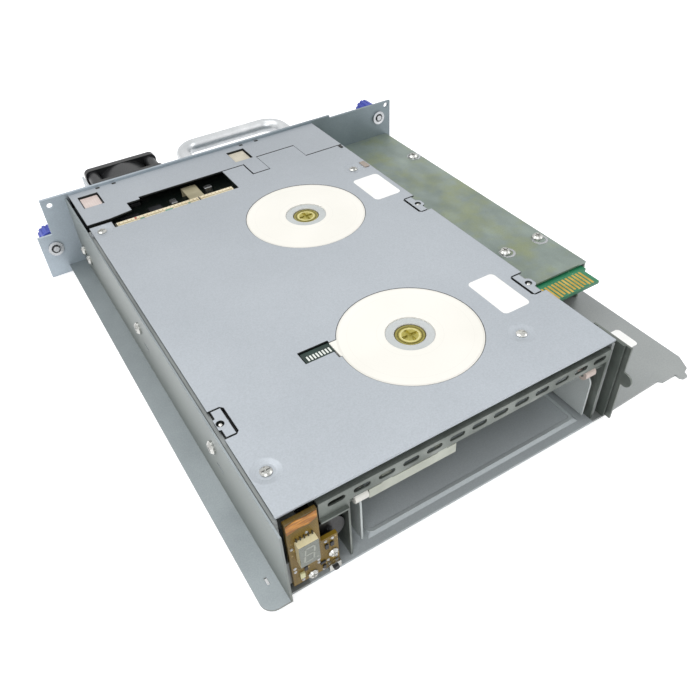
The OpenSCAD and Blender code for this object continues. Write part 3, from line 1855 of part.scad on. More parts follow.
module edge_connector() {
  color([0.86, 0.82, 0.72])
    difference() {
      block(edge_conn_x, [edge_conn_y, edge_conn_y + edge_conn_d],
        [logic_z + board_t, edge_conn_top]);
      block([edge_conn_x[0] + edge_slot, edge_conn_x[1] - edge_slot],
        [edge_conn_y + (edge_conn_d - edge_slot) / 2,
          edge_conn_y + (edge_conn_d + edge_slot) / 2],
        [edge_conn_top - flex_rise, edge_conn_top + over]);
    }
}

module flex_cable() {
  front = edge_conn_y + edge_conn_d;
  color([0.80, 0.70, 0.50]) {
    block([flex_x - flex_w / 2, flex_x + flex_w / 2], [front, front + flex_reach],
      [edge_conn_top - flex_drop - flex_t, edge_conn_top - flex_drop]);
    block([flex_x - flex_w / 2, flex_x + flex_w / 2],
      [front + flex_reach - flex_t, front + flex_reach],
      [logic_z + board_t, edge_conn_top - flex_drop]);
  }
}

module display_board() {
  color([0.34, 0.30, 0.16])
    difference() {
      union() {
        block([panel_board_l, panel_board_r], [-panel_board_reach, board_back],
          [panel_board_z, panel_board_step]);
        block([panel_board_l, panel_board_mid], [-panel_board_reach, board_back],
          [panel_board_z, panel_board_top]);
      }
      for (place = board_screw_places)
        bore_y(small_screw_r + screw_gap, place[0], [-panel_board_reach, board_back], place[1]);
    }
}

module board_screws() {
  color([0.76, 0.76, 0.74])
    for (place = board_screw_places)
      translate([place[0], -panel_board_reach, place[1]])
        rotate([90, 0, 0])
          m2_screw(board_t + board_plate_t);
}

module digit_display() {
  color([0.16, 0.15, 0.14])
    block([digit_x, digit_x + digit_w], [-panel_board_reach - digit_d, -panel_board_reach],
      [digit_z, digit_z + digit_h]);
  color([0.78, 0.78, 0.76])
    for (i = [0 : digit_pins - 1])
      translate([digit_x + (i + 1 / 2) * digit_w / digit_pins - digit_pin_w / 2,
          -panel_board_reach - digit_pin_w, digit_z + digit_h])
        cube([digit_pin_w, digit_pin_w, digit_pin_h]);
}

module switch_frame() {
  color([0.62, 0.62, 0.62])
    difference() {
      block([switch_x, switch_x + switch_w], [-panel_board_reach - switch_d,
        -panel_board_reach], [switch_z, switch_z + switch_h]);
      bar_y(button_r + run_gap, switch_x + switch_w / 2,
        [-panel_board_reach - switch_d - over, -panel_board_reach - switch_face_t],
        switch_z + switch_h / 2, $fn = pin_fn);
    }
}

module switch_button() {
  color([0.12, 0.12, 0.12])
    bar_y(button_r, switch_x + switch_w / 2,
      [-panel_board_reach - switch_d - button_out,
        -panel_board_reach - switch_face_t - button_travel - pass_gap],
      switch_z + switch_h / 2, $fn = pin_fn);
}

module status_led() {
  color([0.80, 0.82, 0.60])
    block([led_x, led_x + led_w], [-panel_board_reach - led_d, -panel_board_reach],
      [led_z, led_z + led_h]);
}

base_tray();
left_rail();
right_rail();
front_bracket();
rear_panel();
rear_cover();
handle();
fan_bracket();
fan_frame();
fan_rotor();
panel_screws();
screw_ferrules();
left_screw_ring();
left_thumbscrew();
right_screw_ring();
right_thumbscrew();
channel_cover();
channel_screws();
interface_board();
host_connector();
side_screws();
drive_chassis();
top_cover();
front_frame();
cover_screws();
motor_discs();
motor_hubs();
motor_stators();
supply_rotor();
supply_clutch();
takeup_rotor();
takeup_reel();
motor_connector();
logic_board();
edge_connector();
flex_cable();
head_base();
head_carriage();
tape_head();
head_screw();
head_motor();
guide_posts();
guide_roller_1();
guide_roller_2();
guide_roller_3();
guide_roller_4();
carriage();
left_slot_roller();
right_slot_roller();
slot_bar();
load_motor();
load_pinion();
load_screw();
display_board();
digit_display();
board_screws();
switch_frame();
switch_button();
status_led();
window_pads();
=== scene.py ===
import json
import math

import bmesh
import bpy
from mathutils import Matrix, Vector


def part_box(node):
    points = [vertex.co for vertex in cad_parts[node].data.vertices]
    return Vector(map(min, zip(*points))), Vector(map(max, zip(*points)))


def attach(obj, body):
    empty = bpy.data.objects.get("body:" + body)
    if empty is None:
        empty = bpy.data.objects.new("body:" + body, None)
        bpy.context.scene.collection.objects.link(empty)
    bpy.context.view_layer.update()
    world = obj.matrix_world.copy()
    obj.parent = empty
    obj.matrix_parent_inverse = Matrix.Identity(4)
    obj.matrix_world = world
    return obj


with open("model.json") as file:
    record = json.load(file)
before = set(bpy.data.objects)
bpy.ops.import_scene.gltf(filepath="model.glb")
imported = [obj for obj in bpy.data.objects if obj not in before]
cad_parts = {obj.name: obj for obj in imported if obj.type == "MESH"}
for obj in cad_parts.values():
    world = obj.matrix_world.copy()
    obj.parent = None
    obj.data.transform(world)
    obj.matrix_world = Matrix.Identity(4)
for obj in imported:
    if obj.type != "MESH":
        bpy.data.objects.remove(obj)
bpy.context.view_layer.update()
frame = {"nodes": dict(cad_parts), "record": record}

MM = 0.001

# Camera, fitted to the corners of the top cover in the photograph
SENSOR_WIDTH = 36.0
LENS = 35.304
SHIFT = (0.0032, 0.0195)
CLIP = (0.01, 20.0)
CAMERA_PLACE = (-0.109445, -0.116004, 0.218296)
CAMERA_TURN = (
    (0.850810, 0.384766, -0.357880),
    (-0.523996, 0.570191, -0.632701),
    (-0.039382, 0.725836, 0.686740),
)

# Studio, in metres and watts
KEY_LAMP = {"place": (-0.50, 0.45, 1.20), "aim": (0.02, 0.10, 0.02), "size": 1.1, "power": 8.0}
FRONT_LAMP = {"place": (-0.60, -0.75, 0.85), "aim": (0.0, 0.05, 0.02), "size": 0.9, "power": 5.5}
SIDE_LAMP = {"place": (0.95, -0.25, 0.80), "aim": (0.03, 0.10, 0.02), "size": 0.9, "power": 3.5}
SKY_LIGHT = 0.52
SKY_SEEN = 1.0
FLOOR_REACH = 4.0
FLOOR_DROP = 0.0002
FLOOR_COLOUR = (0.86, 0.86, 0.87, 1.0)
FLOOR_ROUGHNESS = 0.8
FLOOR_GLOW = 0.5
WHITE = (1.0, 1.0, 1.0, 1.0)


# Camera, light and floor

def make_camera():
    data = bpy.data.cameras.new("camera")
    data.sensor_fit = "HORIZONTAL"
    data.sensor_width = SENSOR_WIDTH
    data.lens = LENS
    data.shift_x, data.shift_y = SHIFT
    data.clip_start, data.clip_end = CLIP
    camera = bpy.data.objects.new("camera", data)
    bpy.context.scene.collection.objects.link(camera)
    camera.matrix_world = Matrix.Translation(CAMERA_PLACE) @ Matrix(CAMERA_TURN).to_4x4()
    bpy.context.scene.camera = camera


def make_lamp(name, place, aim, size, power):
    data = bpy.data.lights.new(name, "AREA")
    data.shape = "DISK"
    data.size = size
    data.energy = power
    lamp = bpy.data.objects.new(name, data)
    bpy.context.scene.collection.objects.link(lamp)
    lamp.location = place
    lamp.rotation_euler = (Vector(aim) - Vector(place)).to_track_quat("-Z", "Y").to_euler()


def seen_directly(tree):
    """1 for rays that show the studio itself and 0 for rays that only light the part."""
    path = tree.nodes.new("ShaderNodeLightPath")
    result = path.outputs["Is Camera Ray"]
    for other in ("Is Glossy Ray", "Is Transmission Ray"):
        either = tree.nodes.new("ShaderNodeMath")
        either.operation = "MAXIMUM"
        tree.links.new(result, either.inputs[0])
        tree.links.new(path.outputs[other], either.inputs[1])
        result = either.outputs[0]
    return result


def make_world():
    world = bpy.data.worlds.new("studio")
    world.use_nodes = True
    tree = world.node_tree
    background = tree.nodes["Background"]
    background.inputs["Color"].default_value = WHITE
    level = tree.nodes.new("ShaderNodeMapRange")
    level.inputs["To Min"].default_value = SKY_LIGHT
    level.inputs["To Max"].default_value = SKY_SEEN
    tree.links.new(seen_directly(tree), level.inputs["Value"])
    tree.links.new(level.outputs["Result"], background.inputs["Strength"])
    bpy.context.scene.world = world


def make_floor():
    """Pale floor with soft shadows, lifted to white where it is seen directly."""
    mesh = bpy.data.meshes.new("floor")
    corners = [(x, y, -FLOOR_DROP) for x, y in block(-FLOOR_REACH, FLOOR_REACH, -FLOOR_REACH, FLOOR_REACH)]
    mesh.from_pydata(corners, [], [(0, 1, 2, 3)])
    floor = bpy.data.objects.new("floor", mesh)
    bpy.context.scene.collection.objects.link(floor)
    material = bpy.data.materials.new("floor")
    material.use_nodes = True
    tree = material.node_tree
    shader = tree.nodes["Principled BSDF"]
    shader.inputs["Base Color"].default_value = FLOOR_COLOUR
    shader.inputs["Roughness"].default_value = FLOOR_ROUGHNESS
    glow = tree.nodes.new("ShaderNodeEmission")
    glow.inputs["Color"].default_value = WHITE
    level = tree.nodes.new("ShaderNodeMath")
    level.operation = "MULTIPLY"
    level.inputs[1].default_value = FLOOR_GLOW
    tree.links.new(seen_directly(tree), level.inputs[0])
    tree.links.new(level.outputs[0], glow.inputs["Strength"])
    both = tree.nodes.new("ShaderNodeAddShader")
    tree.links.new(shader.outputs["BSDF"], both.inputs[0])
    tree.links.new(glow.outputs["Emission"], both.inputs[1])
    tree.links.new(both.outputs["Shader"], tree.nodes["Material Output"].inputs["Surface"])
    mesh.materials.append(material)


# Outlines

def ring_outline(cx, cy, r, steps=40):
    return [(cx + r * math.cos(2 * math.pi * i / steps), cy + r * math.sin(2 * math.pi * i / steps))
            for i in range(steps)]


def block(x0, x1, y0, y1):
    return [(x0, y0), (x1, y0), (x1, y1), (x0, y1)]


def rounded(cx, cy, w, d, r, steps=6):
    """Rectangle with round corners."""
    points = []
    for sx, sy, start in ((1, 1, 0), (-1, 1, 90), (-1, -1, 180), (1, -1, 270)):
        for i in range(steps + 1):
            turn = math.radians(start + 90.0 * i / steps)
            points.append((cx + sx * (w / 2 - r) + r * math.cos(turn),
                           cy + sy * (d / 2 - r) + r * math.sin(turn)))
    return points


bpy.context.scene.view_settings.view_transform = "Standard"
make_camera()
make_world()
make_floor()
make_lamp("key", **KEY_LAMP)
make_lamp("front", **FRONT_LAMP)
make_lamp("side", **SIDE_LAMP)


# Materials

# Usual range of a noise texture
NOISE_LOW = 0.3
NOISE_HIGH = 0.7

# How fine the grain of bare sheet is: on plain sheet, on the left rail and rear panel, and on zinc coats
SHEET_GRAIN = 1800.0
PANEL_GRAIN = 1900.0
ZINC_GRAIN = 2100.0

# Its wide drift, its fainter specks, the depths of its grain and the roundness of its edges
SHEET_DRIFT = 30.0
FAINT_SPECKS = (0.94, 1.05)
SHEET_DEPTH = 0.010 * MM
ROLLED_DEPTH = 0.012 * MM
SHEET_EDGE = 0.22 * MM
TRAY_EDGE = 0.40 * MM

# How far up a face's normal may point on a face that stands, and the cosines that bound an edge line
STANDING = 0.35
ROUNDEST = 0.86
FLATTEST = 0.995

HUB_RADIUS = 6.2 * MM
KNOB_STEEL_RADIUS = 2.5 * MM


def linear(code):
    """Linear colour from the hex code that it has on screen."""
    values = [int(code[i:i + 2], 16) / 255.0 for i in (1, 3, 5)]
    return tuple(v / 12.92 if v <= 0.04045 else ((v + 0.055) / 1.055) ** 2.4 for v in values) + (1.0,)


def grey(level):
    return (level, level, level, 1.0)


def middle(node, across=0, along=1):
    """Middle of a node on two of the three directions, to a ten-thousandth of a millimetre."""
    low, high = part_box(node)
    return tuple(round((low[way] + high[way]) / 2, 7) for way in (across, along))


MOTORS = [middle("supply_rotor"), middle("takeup_rotor")]


class Shade:
    """A material with its shader, and short calls for the nodes that feed it."""

    def __init__(self, name):
        self.material = bpy.data.materials.new(name)
        self.material.use_nodes = True
        self.tree = self.material.node_tree
        self.shader = self.tree.nodes["Principled BSDF"]
        self.place = self.tree.nodes.new("ShaderNodeTexCoord").outputs["Object"]

    def node(self, kind, **inputs):
        node = self.tree.nodes.new(kind)
        for name, value in inputs.items():
            self.put(node.inputs[name.replace("_", " ")], value)
        return node

    def put(self, socket, value):
        if hasattr(value, "is_linked"):
            self.tree.links.new(value, socket)
        else:
            socket.default_value = value

    def mapped(self, scale):
        return self.node("ShaderNodeMapping", Vector=self.place, Scale=scale).outputs["Vector"]

    def noise(self, scale, detail=3.0, rough=0.55, place=None, twist=0.0):
        return self.node("ShaderNodeTexNoise", Vector=place or self.place, Scale=scale, Detail=detail,
                         Roughness=rough, Distortion=twist).outputs["Fac"]

    def cells(self, scale, place=None, feature="F1", output="Distance"):
        node = self.node("ShaderNodeTexVoronoi", Scale=scale)
        node.feature = feature
        self.put(node.inputs["Vector"], place or self.place)
        return node.outputs[output]

    def ramp(self, value, *stops):
        node = self.node("ShaderNodeValToRGB", Fac=value)
        band = node.color_ramp
        while len(band.elements) < len(stops):
            band.elements.new(0.5)
        for element, (where, colour) in zip(band.elements, stops):
            element.position = where
            element.color = colour
        return node.outputs["Color"]

    def span(self, value, low, high, start=0.0, end=1.0):
        node = self.tree.nodes.new("ShaderNodeMapRange")
        for name, number in (("From Min", start), ("From Max", end), ("To Min", low), ("To Max", high)):
            node.inputs[name].default_value = number
        self.put(node.inputs["Value"], value)
        return node.outputs["Result"]

    def spread(self, noise, low, high):
        return self.span(noise, low, high, NOISE_LOW, NOISE_HIGH)

    def two_tone(self, noise, dark, light, start=NOISE_LOW, end=NOISE_HIGH):
        return self.ramp(noise, (start, linear(dark)), (end, linear(light)))

    def math(self, how, a, b=0.0):
        node = self.tree.nodes.new("ShaderNodeMath")
        node.operation = how
        self.put(node.inputs[0], a)
        self.put(node.inputs[1], b)
        return node.outputs[0]

    def times(self, a, b):
        return self.math("MULTIPLY", a, b)

    def above(self, value, level):
        return self.math("GREATER_THAN", value, level)

    def below(self, value, level):
        return self.math("LESS_THAN", value, level)

    def within(self, value, low, high):
        return self.times(self.above(value, low), self.below(value, high))

    def mix(self, share, a, b, how="MIX"):
        node = self.tree.nodes.new("ShaderNodeMix")
        node.data_type = "RGBA"
        node.blend_type = how
        first, second = [socket for socket in node.inputs if socket.type == "RGBA"]
        self.put(node.inputs["Factor"], share)
        self.put(first, a)
        self.put(second, b)
        return [socket for socket in node.outputs if socket.type == "RGBA"][0]

    def speckle(self, colour, fine, low=0.93, high=1.06):
        return self.mix(1.0, colour, self.spread(fine, low, high), "MULTIPLY")

    def parts(self):
        return self.node("ShaderNodeSeparateXYZ", Vector=self.place).outputs

    def far_from(self, centre, across=0, along=1):
        """Distance from an axis through a place given on two of the three directions."""
        parts = self.parts()
        a = self.math("SUBTRACT", parts[across], centre[0])
        b = self.math("SUBTRACT", parts[along], centre[1])
        return self.math("SQRT", self.math("ADD", self.times(a, a), self.times(b, b)))

    def upright(self):
        """1 on faces that stand up and 0 on faces that lie flat."""
        normal = self.tree.nodes.new("ShaderNodeNewGeometry").outputs["True Normal"]
        parts = self.node("ShaderNodeSeparateXYZ", Vector=normal)
        return self.below(self.math("ABSOLUTE", parts.outputs["Z"]), STANDING)

    def rounded_normal(self, reach, samples):
        soft = self.node("ShaderNodeBevel", Radius=reach)
        soft.samples = samples
        return soft.outputs["Normal"]

    def edges(self, reach):
        """1 close to a sharp edge and 0 away from it, from the normal that a rounded edge would have."""
        dot = self.tree.nodes.new("ShaderNodeVectorMath")
        dot.operation = "DOT_PRODUCT"
        self.put(dot.inputs[0], self.tree.nodes.new("ShaderNodeNewGeometry").outputs["True Normal"])
        self.put(dot.inputs[1], self.rounded_normal(reach, 6))
        return self.span(dot.outputs["Value"], 1.0, 0.0, ROUNDEST, FLATTEST)

    def traces(self, place, scale):
        """Thin lines that run over a circuit board in uneven rows."""
        node = self.node("ShaderNodeTexBrick", Vector=place, Scale=scale, Mortar_Size=0.05,
                         Mortar_Smooth=0.15, Row_Height=0.42, Brick_Width=1.7)
        node.offset = 0.37
        node.squash = 1.6
        node.squash_frequency = 3
        return node.outputs["Fac"]

    def finish(self, colour, roughness, height, depth, strength=0.5, edge=0.0, metal=0.0, specular=0.5):
        """Feed the shader and give the material back."""
        self.put(self.shader.inputs["Base Color"], colour)
        self.put(self.shader.inputs["Roughness"], roughness)
        self.put(self.shader.inputs["Metallic"], metal)
        self.shader.inputs["Specular IOR Level"].default_value = specular
        bump = self.node("ShaderNodeBump", Distance=depth, Strength=strength, Height=height)
        if edge:
            self.put(bump.inputs["Normal"], self.rounded_normal(edge, 4))
        self.put(self.shader.inputs["Normal"], bump.outputs["Normal"])
        return self.material


def sheet_metal(name, light, dark, metal=0.6, rough=(0.36, 0.52), blotch=26.0):
    shade = Shade(name)
    fine = shade.noise(SHEET_GRAIN, detail=2.0, rough=0.6)
    colour = shade.two_tone(shade.noise(blotch, detail=4.0, rough=0.6, twist=0.4), dark, light, 0.35, 0.68)
    roughness = shade.spread(shade.noise(3.1 * blotch), *rough)
    return shade.finish(shade.speckle(colour, fine, *FAINT_SPECKS), roughness, fine, ROLLED_DEPTH,
                        strength=0.6, edge=SHEET_EDGE, metal=metal)


def zinc_metal(name, light, middle, dark, metal=0.55, tint=None):
    """Zinc coat with soft patches, and a stain over it where a tint is given."""
    shade = Shade(name)
    crystals = shade.cells(150.0, shade.mapped((1.0, 0.6, 1.0)), "SMOOTH_F1", "Color")
    drift = shade.noise(SHEET_DRIFT, detail=4.0)
    fine = shade.noise(ZINC_GRAIN, detail=2.0)
    tone = shade.node("ShaderNodeRGBToBW", Color=crystals).outputs["Val"]
    total = shade.math("ADD", shade.times(tone, 0.3), shade.times(drift, 0.7))
    colour = shade.ramp(total, (NOISE_LOW, linear(dark)), (0.5, linear(middle)), (NOISE_HIGH, linear(light)))
    if tint:
        stain = shade.ramp(shade.noise(75.0, detail=3.0, rough=0.6), (0.45, grey(0.0)), (0.72, grey(0.6)))
        colour = shade.mix(stain, colour, linear(tint))
    roughness = shade.spread(total, 0.50, 0.34)
    return shade.finish(shade.speckle(colour, fine), roughness, fine, SHEET_DEPTH,
                        edge=SHEET_EDGE, metal=metal)


def rail_metal():
    """Left rail: painted shade makes the standing wall darker than the flange, the wall goes browner toward
    its foot, and the flange beside it darker to the rear.
    """
    shade = Shade("rail_zinc")
    low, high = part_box("left_rail")
    darker_from = 30.0 * MM
    drift = shade.noise(34.0, detail=4.0, rough=0.6)
    fine = shade.noise(PANEL_GRAIN, detail=2.0)
    _, y, z = shade.parts()
    wall = shade.two_tone(drift, "#7F8685", "#8E9593")
    foot = shade.span(z, 0.6, 0.0, low[2], high[2])
    wall = shade.mix(foot, wall, linear("#5E6058"))
    flange = shade.two_tone(drift, "#8F979A", "#A0A8AB")
    rear = shade.span(y, 0.0, 0.45, darker_from, high[1])
    flange = shade.mix(rear, flange, linear("#6B7373"))
    # Painted shade: faces that stand take the darker wall colours, faces that lie flat the flange colours.
    colour = shade.speckle(shade.mix(shade.upright(), flange, wall), fine)
    return shade.finish(colour, shade.spread(drift, 0.38, 0.52), fine, SHEET_DEPTH,
                        edge=SHEET_EDGE, metal=0.4)


def panel_metal():
    """Rear panel with painted light and shade: pale and bluish on the left, darker toward the channel and
    the floor there.
    """
    shade = Shade("panel_zinc")
    low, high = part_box("rear_panel")
    drift = shade.noise(SHEET_DRIFT, detail=4.0, rough=0.6)
    fine = shade.noise(PANEL_GRAIN, detail=2.0)
    x, _, z = shade.parts()
    left = shade.two_tone(drift, "#A9B4BD", "#B8C3CC")
    right = shade.two_tone(drift, "#7C888E", "#8B979D")
    # Painted light and shade: pale on the left, darker toward the channel and toward the floor there.
    across = shade.span(x, 0.0, 1.0, low[0], 0.6 * high[0])
    foot = shade.times(shade.span(z, 0.5, 0.0, low[2], high[2]), across)
    colour = shade.mix(foot, shade.mix(across, left, right), linear("#5F6B70"))
    colour = shade.speckle(colour, fine, *FAINT_SPECKS)
    return shade.finish(colour, shade.spread(drift, 0.36, 0.50), fine, SHEET_DEPTH,
                        edge=SHEET_EDGE, metal=0.45)


def deck_metal():
    """Chassis sheet, with painted shade making the deck under the cover almost black where only gaps show
    it.
    """
    shade = Shade("chassis_sheet")
    low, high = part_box("drive_chassis")
    deck, wall = 1.8 * MM, 1.6 * MM
    drift = shade.noise(SHEET_DRIFT, detail=4.0, rough=0.6)
    fine = shade.noise(SHEET_GRAIN, detail=2.0)
    x, _, z = shade.parts()
    # Painted shade: the deck under the cover, between its walls, is almost black.
    shaded_deck = shade.times(shade.above(z, high[2] - deck), shade.within(x, low[0] + wall, high[0] - wall))
    colour = shade.mix(shaded_deck, shade.two_tone(drift, "#8A8F8F", "#A2A6A5"), linear("#191A1A"))
    return shade.finish(colour, shade.spread(drift, 0.40, 0.55), fine, SHEET_DEPTH,
                        edge=SHEET_EDGE, metal=0.4)


def cover_metal():
    """Grained cover sheet, painted paler to the front, and with painted shade darkening its edges but for
    the one at the front.
    """
    shade = Shade("cover_sheet")
    low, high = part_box("top_cover")
    fine = shade.noise(SHEET_GRAIN, detail=2.0, rough=0.6)
    _, y, _ = shade.parts()
    colour = shade.two_tone(shade.noise(9.0, detail=4.0, rough=0.6), "#A8AEB4", "#B1B7BD", 0.35, 0.68)
    # Painted light: paler to the front and darker to the rear.
    colour = shade.mix(1.0, shade.speckle(colour, fine), shade.span(y, 1.10, 0.90, low[1], high[1]),
                       "MULTIPLY")
    # Painted shade: standing faces and a line along each edge go dark, but not at the front edge.
    behind = shade.above(y, low[1] + 1.0 * MM)
    colour = shade.mix(shade.times(shade.upright(), behind), colour, linear("#2C2F2F"))
    line = shade.times(shade.edges(0.34 * MM), behind)
    colour = shade.mix(shade.times(line, 0.62), colour, linear("#3A3D3E"))
    roughness = shade.spread(shade.noise(28.0), 0.42, 0.54)
    return shade.finish(colour, roughness, fine, ROLLED_DEPTH, strength=0.6,
                        edge=SHEET_EDGE, metal=0.35)


def tray_metal():
    """Smooth zinc tray, less mirror-like on the floor of the cartridge bay, where painted light makes it
    paler and painted shade darkens it toward the rear.
    """
    shade = Shade("zinc_sheet")
    low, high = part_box("carriage")
    bay_rear, shade_start, shade_end = 90.0 * MM, 4.0 * MM, 60.0 * MM
    drift = shade.noise(12.0, detail=4.0, rough=0.6)
    fine = shade.noise(SHEET_GRAIN, detail=2.0, rough=0.6)
    x, y, _ = shade.parts()
    bay = shade.times(shade.within(x, low[0] - 6.0 * MM, high[0] + 2.0 * MM), shade.below(y, bay_rear))
    # Painted light: the bay floor is paler than the rest of the tray.
    floor = shade.two_tone(drift, "#AEB5B8", "#B9C0C3", 0.35, 0.68)
    # Painted shade: the bay floor darkens toward the rear.
    floor = shade.mix(shade.span(y, 0.0, 0.8, shade_start, shade_end), floor, linear("#5C6364"))
    colour = shade.mix(bay, shade.two_tone(drift, "#929696", "#9FA3A2", 0.35, 0.68), floor)
    colour = shade.speckle(colour, fine)
    return shade.finish(colour, shade.spread(drift, 0.36, 0.50), fine, ROLLED_DEPTH, strength=0.6,
                        edge=TRAY_EDGE, metal=shade.span(bay, 0.5, 0.15))


def moulded(name, colour, darker, rough=(0.42, 0.58), grain=1500.0, depth=0.02 * MM, edge=0.2 * MM):
    shade = Shade(name)
    fine = shade.noise(grain, detail=2.0, rough=0.6)
    return shade.finish(shade.two_tone(shade.noise(70.0), darker, colour, 0.32, 0.66),
                        shade.spread(fine, *rough), fine, depth, strength=0.6, edge=edge)


def turned(name, light, dark, rough=(0.18, 0.32), metal=1.0):
    shade = Shade(name)
    fine = shade.noise(900.0, detail=3.0, rough=0.7, place=shade.mapped((1.0, 1.0, 4.0)))
    return shade.finish(shade.two_tone(shade.noise(180.0), dark, light), shade.spread(fine, *rough),
                        fine, 0.008 * MM, edge=0.15 * MM, metal=metal)


def circuit(name, mask, trace, pad):
    """Board with traces and pads."""
    shade = Shade(name)
    traces = shade.traces(shade.place, 420.0)
    holes = shade.ramp(shade.cells(330.0), (0.10, grey(0.7)), (0.14, grey(0.0)))
    drift = shade.noise(55.0)
    colour = shade.mix(shade.times(traces, 0.6), shade.two_tone(drift, mask, trace), linear(trace))
    colour = shade.mix(holes, colour, linear(pad))
    return shade.finish(colour, shade.span(drift, 0.28, 0.42), traces, 0.03 * MM, edge=0.12 * MM)


def display_laminate():
    """Olive board that stands across the drive, darker near its top where the cover shades it."""
    shade = Shade("board_brown")
    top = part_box("display_board")[1][2]
    x, _, z = shade.parts()
    facing = shade.node("ShaderNodeCombineXYZ", X=x, Y=z).outputs["Vector"]
    traces = shade.traces(facing, 520.0)
    holes = shade.ramp(shade.cells(300.0), (0.09, grey(0.8)), (0.13, grey(0.0)))
    drift = shade.noise(70.0)
    colour = shade.mix(shade.times(traces, 0.5), shade.two_tone(drift, "#5E4A10", "#80651C"),
                       linear("#A0842F"))
    colour = shade.mix(holes, colour, linear("#C9B069"))
    colour = shade.mix(shade.span(z, 0.0, 0.6, top - 10.0 * MM, top), colour, linear("#3B2E12"))
    return shade.finish(colour, shade.span(drift, 0.28, 0.42), traces, 0.03 * MM, edge=0.12 * MM,
                        specular=0.3)


def disc_white():
    """Warm white moulding with faint rings and a greyer recess."""
    shade = Shade("disc_white")
    recess_top = 42.62 * MM
    fine = shade.noise(1400.0, detail=2.0)
    colour = shade.two_tone(shade.noise(22.0, detail=2.0, rough=0.5), "#E9E7DF", "#F1EFE8")
    for centre in MOTORS:
        far = shade.far_from(centre)
        for inner, outer, share in ((13.0, 13.2, 0.08), (24.6, 24.8, 0.07), (28.0, 28.9, 0.16)):
            ring = shade.times(shade.within(far, inner * MM, outer * MM), share)
            colour = shade.mix(ring, colour, linear("#A5A39A"))
    low = shade.times(shade.below(shade.parts()["Z"], recess_top), 0.35)
    colour = shade.mix(low, colour, linear("#A2A5A3"))
    return shade.finish(colour, shade.spread(fine, 0.44, 0.54), fine, SHEET_DEPTH, edge=0.2 * MM)


def amber_film():
    """Orange film with painted highlights in streaks, glossier along them."""
    shade = Shade("amber_film")
    streaks = shade.noise(260.0, detail=3.0, rough=0.6, place=shade.mapped((0.35, 1.0, 2.2)))
    # The bright streaks are painted highlights.
    colour = shade.ramp(streaks, (0.34, linear("#5C3605")), (0.52, linear("#A2640C")),
                        (0.70, linear("#E09A34")))
    return shade.finish(colour, shade.span(streaks, 0.34, 0.20), streaks, 0.06 * MM,
                        strength=0.6, specular=0.35)


def turned_hub():
    """Olive brass with rings: a dark rim, a painted highlight on a step inside it and a duller middle."""
    shade = Shade("motor_hub")
    reach = shade.math("MINIMUM", shade.far_from(MOTORS[0]), shade.far_from(MOTORS[1]))
    share = shade.math("DIVIDE", reach, HUB_RADIUS)
    fine = shade.noise(900.0, detail=3.0, rough=0.7)
    # The pale band near 0.6 of the hub's radius is a painted highlight.
    colour = shade.ramp(share, (0.0, linear("#A39A4C")), (0.52, linear("#B4AA5A")),
                        (0.60, linear("#E4DDA2")), (0.70, linear("#C2B768")), (0.76, linear("#6E6730")),
                        (0.90, linear("#A89F58")), (0.97, linear("#5C5730")))
    colour = shade.speckle(colour, fine, 0.85, 1.10)
    return shade.finish(colour, shade.spread(fine, 0.22, 0.38), fine, SHEET_DEPTH,
                        edge=0.25 * MM, metal=0.75)


def motor_plug():
    """Dark green plug with pale contacts standing on its top."""
    shade = Shade("connector_green")
    contact_h = 0.18 * MM
    fine = shade.noise(1500.0, detail=2.0)
    contacts = shade.above(shade.parts()["Z"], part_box("motor_connector")[1][2] - contact_h)
    colour = shade.mix(contacts, shade.two_tone(shade.noise(150.0), "#0F211C", "#1C3A32"),
                       linear("#E4E8E2"))
    return shade.finish(colour, shade.spread(fine, 0.35, 0.50), fine, SHEET_DEPTH)


def digit_block():
    """Cream block with a grey face plate and dark pins above it."""
    shade = Shade("display_dark")
    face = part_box("digit_display")[0][1] + 0.08 * MM
    block_top = 29.12 * MM
    drift = shade.noise(160.0)
    fine = shade.noise(1700.0, detail=2.0)
    _, y, z = shade.parts()
    colour = shade.mix(shade.below(y, face), shade.two_tone(drift, "#E6DBAE", "#F3EBC6"),
                       shade.two_tone(drift, "#6D726B", "#7E837B"))
    colour = shade.mix(shade.above(z, block_top), colour, linear("#33322B"))
    return shade.finish(colour, shade.spread(fine, 0.24, 0.40), fine, SHEET_DEPTH, edge=0.15 * MM)


def window_pad():
    """Foam pads in the two small windows, with a fine grid and a dark slit of painted shade at each side."""
    shade = Shade("pad_beige")
    low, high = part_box("window_pads")
    pad_w, slit = 9.7 * MM, 0.4 * MM
    bricks = shade.node("ShaderNodeTexBrick", Vector=shade.place, Scale=420.0, Mortar_Size=0.03,
                        Row_Height=0.5, Brick_Width=0.5)
    bricks.offset = 0.0
    grid = bricks.outputs["Fac"]
    drift = shade.noise(120.0)
    x = shade.parts()["X"]
    colour = shade.mix(shade.above(x, 0.0), shade.two_tone(drift, "#C9B8B2", "#DCCFC9"),
                       shade.two_tone(drift, "#BDB7A6", "#CFC9B8"))
    colour = shade.mix(shade.times(grid, 0.25), colour, linear("#8F847C"))
    # Painted shade: a dark slit beside each side of each pad.
    for left in (low[0], high[0] - pad_w):
        around = shade.within(x, left - slit, left + pad_w + slit)
        inside = shade.within(x, left + slit, left + pad_w - slit)
        colour = shade.mix(shade.math("SUBTRACT", around, inside), colour, linear("#2C2D2C"))
    return shade.finish(colour, shade.span(drift, 0.55, 0.70), grid, 0.04 * MM, edge=0.2 * MM)


